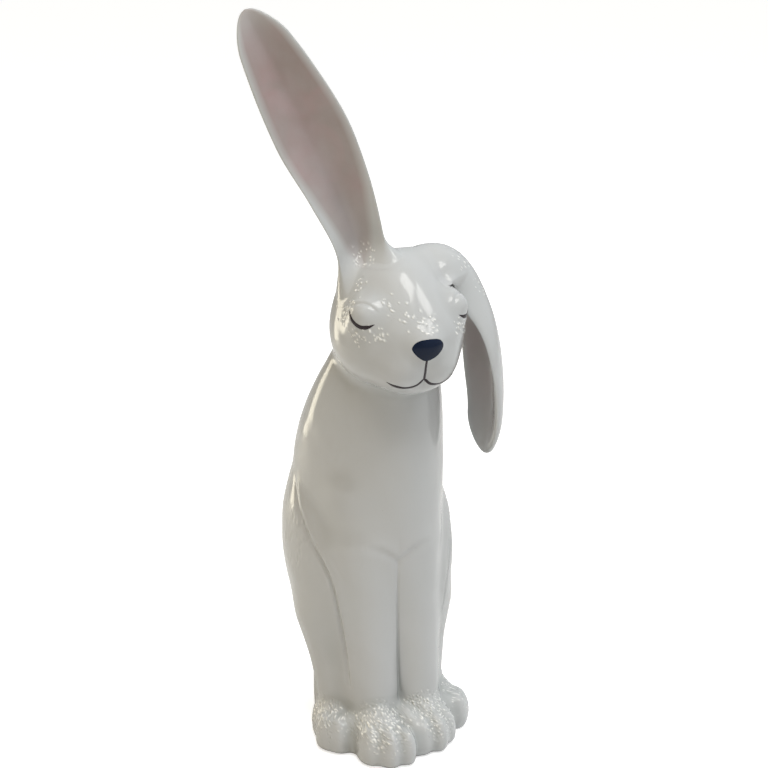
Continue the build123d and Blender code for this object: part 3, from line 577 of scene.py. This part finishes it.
# The creases run top to bottom or inside to outside, and each press gives a width, a depth and a lip.
HAUNCH_PRESS, CHEST_PRESS, LEG_PRESS = (1.5, 1.5, 1.1), (2.0, 0.7, 0.5), (1.7, 1.0, 0.0)
HAUNCH_CREASE = [(-43, 21, 152), (-42.5, 2, 128), (-38.5, -17, 105.5), (-34, -21, 84), (-31, -22, 65.5),
                 (-29.5, -23, 50), (-28.7, -23.7, 38)]
CHEST_CREASE = [(-4.5, -33, 114), (-9, -36, 118), (-15, -36, 121.5), (-22, -32, 123)]
LEG_CREASE = [(-4.5, -30, 115), (-4, -29, 96), (-2.7, -28, 76), (-1.3, -27, 56), (0, -28, 36), (0.6, -34, 24)]

pressed = body_grid
for side in (1, -1):
    haunch_path = [(side * x, y, z) for x, y, z in HAUNCH_CREASE]
    pressed = crease(pressed, body_normals, haunch_path[::side], *HAUNCH_PRESS)
    chest_path = [(side * (x + LEG_SHIFT) - LEG_SHIFT, y, z) for x, y, z in CHEST_CREASE]
    pressed = crease(pressed, body_normals, chest_path[::-side], *CHEST_PRESS)
pressed = crease(pressed, body_normals, LEG_CREASE, *LEG_PRESS)

# Each patch of fur has its places, its reach from them, its flow, its count, its seed and its stroke.
PAWS, HIND_FEET = [(-17.4, -42, 16), (13.4, -35, 16)], [(-38, -14, 14), (38, -14, 14)]
HAUNCHES = [(-46, 12, 118), (46, 12, 118)]
PAW_DAB = {"depth": -0.36, "width": 0.55, "length": 1.7, "stray": 1.0}
BODY_FUR = (
    (PAWS, (19, 26, 17), (0, -0.7, -0.7), 850, 11, {"length": 2.0, "stray": 1.0}),
    (PAWS, (19, 26, 17), (0, -0.7, -0.7), 430, 14, PAW_DAB),
    (HIND_FEET, (14, 23, 15), (0, -0.8, -0.5), 380, 12, {"length": 2.2, "stray": 1.0}),
    (HIND_FEET, (14, 23, 15), (0, -0.8, -0.5), 220, 15, PAW_DAB),
    (HAUNCHES, (10, 20, 24), (0, 0.3, -1), 70, 13, {"depth": 0.2, "width": 0.9, "length": 6.0}))
SEAM_FADE = 12.0
scratched, body_fur = furred(pressed, body_normals, BODY_FUR)
fade = np.clip((NECK_HEIGHT - body_grid[..., 2:]) / SEAM_FADE, 0, 1)
dressed = scratched + body_normals * ripple(body_grid)[..., None] * fade
dressed[..., 2] = np.where(body_grid[..., 2] < FOOT_EDGE, body_grid[..., 2], dressed[..., 2])
dressed_normals = grid_normals(dressed, after=head_grid[1])

VENT_MIDDLE, VENT_RADIUS, VENT_DEPTH = (0.0, 22.0), 4.5, 5.0
turn = np.arctan2(dressed[0, :, 1] - VENT_MIDDLE[1], dressed[0, :, 0])
vent = np.stack([VENT_RADIUS * np.cos(turn), VENT_MIDDLE[1] + VENT_RADIUS * np.sin(turn), 0 * turn], -1)
floor_rings = [dressed[0] + (vent - dressed[0]) * share for share in np.linspace(0.2, 1, 5)]
neck_ring = body_grid[-1]
neck_middle = (neck_ring + neck_ring.mean(0)) / 2
body = grid_piece("Body", dressed, dressed_normals, shade_and_highlight(body_shade, body_fur),
                  flat_end(*floor_rings, vent + (0, 0, VENT_DEPTH)), flat_end(neck_middle))
body.data.materials.append(white_glaze)
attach(body, "root")
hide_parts("body_casting")

# Head casting: the hollow head of the same white clay, luted on at the neck and sponged so that no seam
# shows. Fur is scratched and dabbed round the closed eyes and over the bridge of the nose, and the crown is
# left smooth.
LID_MIDDLE, LID_ROUND, LID_SWELL = (-30.8, -43.5, 260.5), 5.2, 1.3
POUCH_MIDDLE, POUCH_ROUND, POUCH_SWELL = (-28, -48, 248), 6.5, 0.7
LID_PRESS, LID_LIP_WIDTH = (1.2, 0.55, 0.3), 3.0
LID_FOLD = [(-35.5, -33, 261.5), (-34.6, -37, 266), (-31.5, -42, 268.6), (-27, -46, 267.6),
            (-23.5, -49, 263.5)]
TEMPLES = [(-32, -22, 268), (32, -22, 268), (-33, -30, 262), (33, -30, 262), (-28, -27, 275), (28, -27, 275)]
BRIDGE = [(-7, -55, 257), (2, -58, 254), (-12, -47, 264)]
POUCHES = [(-29, -42, 248), (29, -42, 248), (-24, -49, 250), (24, -49, 250)]
FACE_DAB = {"depth": -0.4, "width": 0.58, "length": 1.8, "stray": 1.0}
HEAD_FUR = (
    (TEMPLES, (9, 10, 11), (0.2, 0.5, -0.8), 44, 21, {"depth": 0.34, "width": 0.7, "length": 5.0}),
    (BRIDGE, (9, 10, 9), (0, 0.6, 0.8), 40, 22, FACE_DAB),
    (POUCHES, (11, 9, 7), (0.2, 0.5, -0.8), 70, 23, FACE_DAB),
    (TEMPLES, (11, 13, 14), (0, 0.2, 1), 95, 24, FACE_DAB),
    (TEMPLES, (9, 11, 10), (0.5, 0.3, -0.8), 34, 26,
     {"depth": -0.34, "width": 0.5, "length": 5.0, "stray": 0.5}))
FINE_RIPPLE = 0.12


def swollen(p):
    """How far the eyelids and the pouches below them swell: a bell round each, on both sides of the face."""
    swell = 0
    for place, size, height in (LID_MIDDLE, LID_ROUND, LID_SWELL), (POUCH_MIDDLE, POUCH_ROUND, POUCH_SWELL):
        away = np.linalg.norm(fold_right(p) - np.array(place), axis=-1)
        swell = swell + height * np.exp(-(away / size) ** 2)
    return swell


# Painted shade in the head's hollows and creases.
head_shade = painted_hollow_shade(upper_clay, head_grid, head_normals)
pressed = head_grid + head_normals * swollen(head_grid)[..., None]
for side in (1, -1):
    lid_path = [(side * x, y, z) for x, y, z in LID_FOLD]
    pressed = crease(pressed, head_normals, lid_path[::side], *LID_PRESS, LID_LIP_WIDTH)
scratched, head_fur = furred(pressed, head_normals, HEAD_FUR)
fade = np.clip((head_grid[..., 2:] - NECK_HEIGHT) / SEAM_FADE, 0, 1)
dressed_head = scratched + head_normals * ripple(head_grid, FINE_RIPPLE)[..., None] * fade
dressed_head_normals = grid_normals(dressed_head, before=body_grid[-2])
dressed_head_normals[-1] = (0, 0, 1)
head_values = {key: value[:-1] for key, value in shade_and_highlight(head_shade, head_fur).items()}
head_piece = grid_piece("Head", dressed_head[:-1], dressed_head_normals[:-1], head_values,
                        flat_end(neck_middle), round_end(dressed_head[-1].mean(0)))
head_piece.data.materials.append(white_glaze)
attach(head_piece, "root")
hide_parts("head_casting")

# Ears: solid leaves of clay, cupped over a form, with a rolled rim, and luted to the head with a fillet of
# slip. Pink underglaze is airbrushed into the hollow side of each, in a colour darkened as painted shade,
# and a little fur is dabbed at the root.
EAR_ROWS, ROOT_ROWS, EAR_COLUMNS = 190, 36, 200
EAR_TURN = -2 * np.pi * np.arange(EAR_COLUMNS) / EAR_COLUMNS
EAR_TIP, EAR_HOLLOW, EAR_THINNING, EAR_OVAL = 0.88, 0.86, 0.75, 0.75
EAR_FILLET, LONGEST_FLARE, ROOT_SINK, HEAD_NEAR = 13.0, 2.5, 0.12, 1.2
PROBES, PROBED_SHARE, EVENINGS, SETTLINGS = 200, 0.5, 6, 3


def ear(along, places, facings, widths, cups, thicks):
    """Points of an ear at the given shares of its path, one column for each turn round it: each slice is a
    flat oval bent round its hollow side, with the hollow side thinned between rolled rims."""
    spread = np.linspace(0, 1, len(places))

    def through(at, values):
        """Smooth curve through points or directions spread evenly along the path."""
        return np.stack([smooth_through(at, spread, np.array(values)[:, i]) for i in range(3)], -1)

    line, step = through(along, places), 0.004
    forward = through(along + step, places) - through(along - step, places)
    forward /= np.linalg.norm(forward, axis=-1, keepdims=True)
    hollow = through(along, facings)
    hollow -= forward * (hollow * forward).sum(-1, keepdims=True)
    hollow /= np.linalg.norm(hollow, axis=-1, keepdims=True)
    across = np.cross(hollow, forward)
    end = np.sqrt(1 - np.clip((along - EAR_TIP) / (1 - EAR_TIP), 0, 0.9999) ** 2)
    thick = (1 + 3 * end) / 4 * smooth_through(along, spread, thicks) / 2
    c, s = np.cos(EAR_TURN), np.sin(EAR_TURN)
    bulge = np.sign(s) * np.abs(s) ** EAR_OVAL
    middle = np.clip(1 - np.abs(c) / EAR_HOLLOW, 0, 1)
    thinned = np.where(s > 0, 1 - EAR_THINNING * end ** 2 * middle * middle * (3 - 2 * middle), 1)
    lift = end ** 2 * smooth_through(along, spread, cups) * c ** 2 + thick * bulge * thinned
    out = end * smooth_through(along, spread, widths) * c
    return line + across * out[..., None] + hollow * lift[..., None]


def luted_ear(*shape):
    """Grid of an ear from where it leaves the head to its tip, flared at the root like a quarter circle so
    that it runs on into the head. Also gives each point's normal and share of the path."""
    probe = np.linspace(0, PROBED_SHARE, PROBES)[:, None] + np.zeros(EAR_COLUMNS)
    height = upper_clay(ear(probe, *shape))
    first = (height > 0).argmax(0)
    start = probe[first, 0]
    reached = (height >= EAR_FILLET) & (np.arange(PROBES)[:, None] > first)
    path_length = np.linalg.norm(np.diff(np.array(shape[0], float), axis=0), axis=-1).sum()
    clear = np.where(reached.any(0), probe[reached.argmax(0), 0], 1)
    clear = np.minimum(clear, start + LONGEST_FLARE * EAR_FILLET / path_length)
    for _ in range(EVENINGS):
        start, clear = [(np.roll(v, 1) + 2 * v + np.roll(v, -1)) / 4 for v in (start, clear)]
    angle = np.linspace(0, np.pi / 2, ROOT_ROWS)[:, None]
    root = start + (clear - start) * (1 - np.cos(angle))
    rest = np.linspace(0, 1, EAR_ROWS - ROOT_ROWS + 1)[1:, None]
    rest = rest + 0.1 * np.sin(np.pi * rest)
    along = np.concatenate([root, clear + (1 - clear) * rest])
    grid = ear(along, *shape)
    normals = grid_normals(grid)
    up = outward(upper_clay, grid)
    height = upper_clay(grid)
    window = np.sqrt(1 - np.clip((along - start) / (clear - start), 0, 1) ** 2)
    share = np.minimum(np.clip(1 - height / EAR_FILLET, 0, 1), window)
    flare = EAR_FILLET * (1 - np.sqrt(1 - share ** 2))
    moved = grid + (normals - up * (normals * up).sum(-1, keepdims=True)) * flare[..., None]
    above = np.maximum(height, 0)
    above[0] = -ROOT_SINK
    flared = (share > 0)[..., None]
    for _ in range(SETTLINGS):
        moved = moved - outward(upper_clay, moved) * (upper_clay(moved) - above)[..., None] * flared
    smooth = grid_normals(moved)
    near = np.clip(1.4 - height / HEAD_NEAR, 0, 1)[..., None] * (window > 0)[..., None]
    smooth = smooth * (1 - near) + outward(upper_clay, moved) * near
    smooth /= np.linalg.norm(smooth, axis=-1, keepdims=True)
    return moved, smooth, along


TINT_SPREAD_PLACES, TINT_SPREADS = (0, 0.15, 0.4, 1), (0.3, 0.55, 0.92, 0.92)
ROOT_DAB = {"depth": -0.3, "width": 0.6, "length": 1.9, "stray": 1.0}


def ear_piece(name, node, shape, tint_places, tints, root_places, seed):
    """One finished ear with its glaze, for its node: pink, darkened as painted shade, in its hollow by how
    far along it is, and dabbed about its root."""
    grid, normals, along = luted_ear(*shape)
    spread = smooth_through(along, TINT_SPREAD_PLACES, TINT_SPREADS)
    hollow_side = np.clip(np.sin(EAR_TURN) * 3, 0, 1) * np.clip((spread - np.abs(np.cos(EAR_TURN))) * 4, 0, 1)
    tint = hollow_side * smooth_through(along, tint_places, tints)
    grid, fur = furred(grid, normals, [(root_places, (10, 12, 8), (-0.2, 0, 1), 26, seed, ROOT_DAB)])
    blended = np.where(upper_clay(grid)[..., None] < HEAD_NEAR, normals, grid_normals(grid))
    clear_of_root = np.clip(along * 8 - 1, 0, 1)[..., None]
    grid = grid + normals * ripple(grid, FINE_RIPPLE)[..., None] * clear_of_root
    piece = grid_piece(name, grid, blended, shade_and_highlight(0 * along, fur) | {"tint": tint},
                       flat_end((grid[0] + grid[0].mean(0)) / 2), round_end(grid[-1].mean(0)))
    piece.data.materials.append(ear_glaze)
    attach(piece, "root")
    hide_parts(node)


# The pink is darker than the underglaze: painted shade for the hollow, which is lit less than the rest.
BLUSH_AND_SHADE = (0.365, 0.265, 0.26, 1)
ear_glaze = glaze("White glaze with pink hollow and painted shade", WHITE, WHITE_SHADE, BLUSH_AND_SHADE)

# A shape has the points of its path from root to tip, and at each the way its hollow faces, its half width,
# how far its rims stand up and its thickness.
UPRIGHT_SHAPE = (
    [(-13, -12, 266), (-18, -12, 292.3), (-29, -10, 322.7), (-43, -7, 353.1), (-59.1, -3, 385.5),
     (-75, 2, 417)],
    [(-0.3, -1, 0.1)] * 6,
    (15.3, 13.7, 17.5, 20.4, 17.1, 10.6),
    (9, 10.5, 10, 7, 5, 4),
    (11.2, 9, 8, 7.2, 6.4, 5.6))
ear_piece("Ear_upright", "ear_upright", UPRIGHT_SHAPE,
          (0, 0.12, 0.3, 0.6, 0.9, 1), (0, 0.25, 0.7, 0.95, 0.9, 0.4), [(-16, -19, 287)], 31)

DROOP_SHAPE = (
    [(11, -14, 262.6), (22, -14, 277.8), (35, -15.4, 279), (47.5, -17.6, 267.3), (57.5, -20.3, 243.9),
     (61, -22.1, 217), (61, -23, 190.1), (57, -22.6, 165.5)],
    [(0.2, -0.3, -1), (-0.1, -0.2, -1), (-0.5, 0.15, -0.9), (-0.8, 0.45, -0.5), (-0.95, 0.2, -0.15),
     (-1, 0.05, 0), (-1, 0, 0), (-1, -0.15, 0)],
    (16, 16, 17, 19, 20, 20, 17.6, 12),
    (4.5, 5.4, 6.3, 7.7, 9, 8.1, 5.9, 4.5),
    (18, 17.1, 13.5, 10.4, 9, 8.6, 7.7, 6.3))
ear_piece("Ear_drooping", "ear_drooping", DROOP_SHAPE,
          (0, 0.3, 0.45, 0.65, 0.85, 1), (0, 0.15, 0.6, 0.6, 0.35, 0.1), [(40, -24, 280), (52, -30, 264)], 32)

# Tail: a round tuft of the same clay, pressed on low at the back, scratched all over like fur and glazed
# white with the body. The photograph doesn't show it.
# The last number is the rise of the fur at which its painted highlight is full.
TAIL_MIDDLE, TAIL_RADIUS, TAIL_DEPTH, TAIL_HIGHLIGHT_RISE = np.array((0, 50.0, 38.0)), 14.5, 0.5, 1.4
TAIL_FUR = ([TAIL_MIDDLE], (40, 40, 40), (0, 0.3, -1), 330, 41, {"depth": TAIL_DEPTH, "width": 0.8})
TAIL_ROWS, TAIL_COLUMNS = 90, 160
rise = np.linspace(-np.pi / 2, np.pi / 2, TAIL_ROWS)[:, None]
round_turn = -2 * np.pi * np.arange(TAIL_COLUMNS) / TAIL_COLUMNS
ball = np.stack([np.cos(rise) * np.cos(round_turn), np.cos(rise) * np.sin(round_turn),
                 np.sin(rise) + 0 * round_turn], -1)
tuft, tail_fur = furred(TAIL_MIDDLE + ball * (TAIL_RADIUS - TAIL_DEPTH), ball, [TAIL_FUR])
tail = grid_piece("Tail", tuft[1:-1], grid_normals(tuft)[1:-1],
                  shade_and_highlight(0 * tail_fur[1:-1], tail_fur[1:-1], TAIL_HIGHLIGHT_RISE),
                  round_end(tuft[0].mean(0)), round_end(tuft[-1].mean(0)))
tail.data.materials.append(white_glaze)
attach(tail, "root")
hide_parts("tail")

# Nose: thick navy glaze, painted over the snout in a rounded triangle that leans a little. It is a smooth
# skin whose edge stands a little proud of the white.
NOSE_HALF_WIDTH, NOSE_TOP, NOSE_BOTTOM, NOSE_MIDDLE = 9.2, 248.8, 236.8, 243.8
NOSE_ACROSS, NOSE_UP = (0, 0.46, 0.84, 1, 0.7, 0.24, 0), (1, 0.97, 0.84, 0.58, 0.27, 0.04, 0)
NOSE_STEPS, NOSE_RINGS = 100, 40
NOSE_LIFT, NOSE_SINK, NOSE_BACK, NOSE_LEAN = 0.45, 0.5, 1.5, -1.2
FACE_START, AHEAD = 25.0, np.array((0, -1.0, 0))

edge = np.linspace(0, 1, NOSE_STEPS)
ends = np.linspace(0, 1, len(NOSE_ACROSS))
edge_x = NOSE_HALF_WIDTH * smooth_through(edge, ends, NOSE_ACROSS)
edge_z = NOSE_BOTTOM + (NOSE_TOP - NOSE_BOTTOM) * smooth_through(edge, ends, NOSE_UP)
edge_x, edge_z = np.append(edge_x, -edge_x[-2:0:-1]), np.append(edge_z, edge_z[-2:0:-1])
shares = np.append(np.sin(np.linspace(0, np.pi / 2, NOSE_RINGS)), 1.0)[::-1, None]
nose_x, nose_z = shares * edge_x, NOSE_MIDDLE + shares * (edge_z - NOSE_MIDDLE)
nose_x = nose_x + NOSE_LEAN * ((NOSE_TOP - nose_z) / (NOSE_TOP - NOSE_BOTTOM)) ** 2
nose_starts = np.stack([nose_x, 0 * nose_x - FACE_START, nose_z], -1)
nose_grid = nose_starts + AHEAD * reach_out(upper_clay, nose_starts, AHEAD)[..., None]
nose_lift = NOSE_LIFT * np.sqrt(np.clip(1 - shares ** 8, 0, 1))
nose_lift[0] = -NOSE_SINK
nose_grid = nose_grid + outward(upper_clay, nose_grid) * nose_lift[..., None]
nose_normals = outward(upper_clay, nose_grid)
flat = np.zeros(nose_x[:-1].shape)
nose = grid_piece("Nose", nose_grid[:-1], nose_normals[:-1], shade_and_highlight(flat, flat),
                  flat_end((nose_grid[0] + nose_grid[0].mean(0)) / 2 + (0, NOSE_BACK, 0)),
                  round_end(nose_grid[-1].mean(0)))
# The second navy is a painted-shade colour, though the nose's shade values are all zero.
NAVY, NAVY_SHADE = (0.005, 0.012, 0.034, 1), (0.004, 0.008, 0.022, 1)
nose.data.materials.append(glaze("Navy glaze", NAVY, NAVY_SHADE, NAVY, gloss=0.2, coat=0.08))
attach(nose, "root")
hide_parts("nose")

# Eye lines and mouth line: strokes of dark brown glaze, laid with a liner brush, full in the middle and
# drawn out thin at the ends. The mouth is three strokes that meet below the nose.
LINE_LIFT, LINE_SINK = 0.22, 0.35
LINE_STEPS, LINE_ROUND = 90, 20
# The second dark colour is a painted-shade colour, though the strokes' shade values are all zero.
DARK, DARK_SHADE = (0.03, 0.022, 0.028, 1), (0.015, 0.011, 0.014, 1)
line_glaze = glaze("Dark line glaze", DARK, DARK_SHADE, NAVY, gloss=0.3, coat=0.1)


def brush_line(across, up, width, origin, right, out, fine_start=0.15, fine_end=0.15):
    """Grid round a painted stroke: a curve through points on a plane, thrown on to the clay, with a lens
    section whose width follows the brush's pressure."""
    spread, at = np.linspace(0, 1, len(across)), np.linspace(0, 1, LINE_STEPS)
    line = np.stack([smooth_through(at, spread, across), smooth_through(at, spread, up)], -1)
    way = np.gradient(line, axis=0)
    way /= np.linalg.norm(way, axis=-1, keepdims=True)
    press = np.minimum(fine_start + 5 * at, 1) * np.minimum(fine_end + 3 * (1 - at), 1)
    press = press * np.sqrt(np.clip(1 - (2 * at - 1) ** 20, 0, 1))
    turn = 2 * np.pi * np.arange(LINE_ROUND) / LINE_ROUND
    side = -width / 2 * press[:, None] * np.cos(turn)
    flat = line[:, None] + np.stack([-way[:, 1], way[:, 0]], -1)[:, None] * side[..., None]
    starts = origin + flat[..., :1] * right + flat[..., 1:] * np.array((0, 0, 1.0))
    skin = starts + out * reach_out(upper_clay, starts, out)[..., None]
    lift = np.where(np.sin(turn) > 0, LINE_LIFT, LINE_SINK) * np.sin(turn) * press[:, None] ** 0.5
    return skin + outward(upper_clay, skin) * (lift + swollen(skin))[..., None]


def painted(name, grids, node):
    """One piece from painted strokes, for its node."""
    parts = []
    for grid in grids:
        flat = np.zeros(grid.shape[:2])
        parts.append(grid_piece(name, grid, grid_normals(grid), shade_and_highlight(flat, flat),
                                round_end(grid[0].mean(0)), round_end(grid[-1].mean(0))))
    if len(parts) > 1:
        with bpy.context.temp_override(active_object=parts[0], selected_editable_objects=parts):
            bpy.ops.object.join()
    parts[0].data.materials.append(line_glaze)
    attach(parts[0], "root")
    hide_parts(node)


EYE_MIDDLE, EYE_START = (30.5, -43.0, 257.0), 18.0
EYE_TURN = np.radians(41)
EYE_ACROSS = np.array((-7.4, -3.8, 0.8, 5.0, 8.6))
EYE_UP = (4.9, 0.4, -2.5, -2.5, -1.0)
EYE_WIDTH = 2.1
for name, node, side in ("Eye_line_right", "eye_line_right", -1), ("Eye_line_left", "eye_line_left", 1):
    out = np.array((side * np.cos(EYE_TURN), -np.sin(EYE_TURN), 0))
    right = np.array((np.sin(EYE_TURN), side * np.cos(EYE_TURN), 0))
    origin = np.array(EYE_MIDDLE) * (side, 1, 1) - EYE_START * out
    painted(name, [brush_line(-side * EYE_ACROSS, EYE_UP, EYE_WIDTH, origin, right, out)], node)

SMILE_ACROSS = np.array((0, 4.4, 10.6, 16.2, 20.0))
SMILE_UP = (225.5, 222.0, 221.1, 222.7, 224.9)
DROP_ACROSS, DROP_UP = np.linspace(NOSE_LEAN, 0, 3), np.linspace(NOSE_BOTTOM + 0.4, SMILE_UP[0] - 0.6, 3)
MOUTH_WIDTH = 1.45
face_origin, sideways = np.array((0, -FACE_START, 0)), np.array((1.0, 0, 0))
strokes = [brush_line(side * SMILE_ACROSS, SMILE_UP, MOUTH_WIDTH, face_origin, sideways, AHEAD, 0.8, 0.1)
           for side in (-1, 1)]
strokes.append(brush_line(DROP_ACROSS, DROP_UP, MOUTH_WIDTH, face_origin, sideways, AHEAD, 1.0, 1.0))
painted("Mouth_line", strokes, "mouth_line")

# Floor, light and camera: a plain pale sweep under soft studio light, seen from where the photograph was
# taken, in metres. The floor glows for the camera's own rays only, so it looks white and keeps its shadow.
FLOOR_HALF, FLOOR_GLOW = 14.0, 0.68
floor_mesh = bpy.data.meshes.new("Floor")
floor_mesh.from_pydata([(x * FLOOR_HALF, y * FLOOR_HALF, 0) for x, y in ((-1, -1), (1, -1), (1, 1), (-1, 1))],
                       [], [(0, 1, 2, 3)])
floor = bpy.data.objects.new("Floor", floor_mesh)
bpy.context.collection.objects.link(floor)
pale = bpy.data.materials.new("Pale floor")
pale.use_nodes = True
nodes, links = pale.node_tree.nodes, pale.node_tree.links
nodes["Principled BSDF"].inputs["Base Color"].default_value = (0.8, 0.8, 0.8, 1)
nodes["Principled BSDF"].inputs["Roughness"].default_value = 0.9
seen = nodes.new("ShaderNodeLightPath")
glow = nodes.new("ShaderNodeEmission")
glow.inputs["Color"].default_value = (1, 1, 1, 1)
lifted = nodes.new("ShaderNodeMath")
lifted.operation = "MULTIPLY"
lifted.inputs[1].default_value = FLOOR_GLOW
links.new(seen.outputs["Is Camera Ray"], lifted.inputs[0])
links.new(lifted.outputs[0], glow.inputs["Strength"])
both = nodes.new("ShaderNodeAddShader")
links.new(nodes["Principled BSDF"].outputs[0], both.inputs[0])
links.new(glow.outputs[0], both.inputs[1])
links.new(both.outputs[0], nodes["Material Output"].inputs["Surface"])
floor_mesh.materials.append(pale)

LIGHT_AIM = (0, 0, 0.2)


def soft_light(name, place, width, height, watts, colour, mirrored=True):
    """Rectangular studio light at a place in metres, facing the figurine, which mirrors it or doesn't."""
    lamp = bpy.data.lights.new(name, "AREA")
    lamp.shape, lamp.size, lamp.size_y = "RECTANGLE", width, height
    lamp.energy, lamp.color = watts, colour
    light = bpy.data.objects.new(name, lamp)
    light.location = place
    light.rotation_euler = (Vector(LIGHT_AIM) - Vector(place)).to_track_quat("-Z", "Y").to_euler()
    light.visible_glossy = mirrored
    light.visible_camera = False
    bpy.context.collection.objects.link(light)


soft_light("Overhead", (-0.1, -0.6, 2.1), 1.2, 0.8, 23, (1, 1, 1), mirrored=False)
soft_light("Left window", (-0.42, 0.66, 0.26), 0.2, 0.5, 1.0, (1.0, 0.93, 0.74))
soft_light("Left fill", (-1.9, -0.5, 0.7), 0.8, 1.0, 4, (1.0, 0.74, 0.36), mirrored=False)
soft_light("Right fill", (1.5, 0.6, 1.1), 0.6, 1.2, 6, (0.93, 0.97, 1.0), mirrored=False)
soft_light("Ceiling lamp", (0.41, -0.62, 1.93), 0.6, 0.6, 4.2, (1, 0.99, 0.96))
soft_light("Side lamp", (1.05, -0.7, 1.58), 0.5, 0.5, 2.6, (1, 0.99, 0.96))

# The room is warm on the left and white on the right, and plain white where the camera sees it.
ROOM_STRENGTH = 0.5
WARM_SIDE, WHITE_SIDE = (0.2, (0.42, 0.335, 0.2, 1)), (0.58, (0.96, 0.99, 1.0, 1))
world = bpy.data.worlds.new("Studio")
world.use_nodes = True
nodes, links = world.node_tree.nodes, world.node_tree.links
room = nodes["Background"]
room.inputs["Strength"].default_value = ROOM_STRENGTH
where = nodes.new("ShaderNodeTexCoord")
axes = nodes.new("ShaderNodeSeparateXYZ")
links.new(where.outputs["Generated"], axes.inputs[0])
sides = nodes.new("ShaderNodeValToRGB")
for stop, (position, colour) in zip(sides.color_ramp.elements, (WARM_SIDE, WHITE_SIDE)):
    stop.position, stop.color = position, colour
spread = nodes.new("ShaderNodeMapRange")
spread.inputs["From Min"].default_value = -1.0
links.new(axes.outputs["X"], spread.inputs["Value"])
links.new(spread.outputs["Result"], sides.inputs["Fac"])
links.new(sides.outputs["Color"], room.inputs["Color"])
backdrop = nodes.new("ShaderNodeBackground")
backdrop.inputs["Color"].default_value = (1, 1, 1, 1)
seen = nodes.new("ShaderNodeLightPath")
choice = nodes.new("ShaderNodeMixShader")
links.new(seen.outputs["Is Camera Ray"], choice.inputs["Fac"])
links.new(room.outputs[0], choice.inputs[1])
links.new(backdrop.outputs[0], choice.inputs[2])
links.new(choice.outputs[0], nodes["World Output"].inputs["Surface"])
bpy.context.scene.world = world

CAMERA_AZIMUTH, CAMERA_DISTANCE, CAMERA_HEIGHT, AIM_HEIGHT = np.radians(-25), 0.975, 0.49, 0.205
SENSOR_WIDTH, FOCAL_LENGTH, IMAGE_WIDTH, SHIFT_ACROSS, SHIFT_UP = 36.0, 84.375, 768, 6, 4
camera_data = bpy.data.cameras.new("Camera")
camera_data.sensor_width, camera_data.lens = SENSOR_WIDTH, FOCAL_LENGTH
camera_data.shift_x, camera_data.shift_y = SHIFT_ACROSS / IMAGE_WIDTH, SHIFT_UP / IMAGE_WIDTH
camera = bpy.data.objects.new("Camera", camera_data)
camera.location = (np.sin(CAMERA_AZIMUTH) * CAMERA_DISTANCE, -np.cos(CAMERA_AZIMUTH) * CAMERA_DISTANCE,
                   CAMERA_HEIGHT)
camera.rotation_euler = (Vector((0, 0, AIM_HEIGHT)) - camera.location).to_track_quat("-Z", "Y").to_euler()
bpy.context.collection.objects.link(camera)
bpy.context.scene.camera = camera
bpy.context.scene.view_settings.view_transform = "Standard"
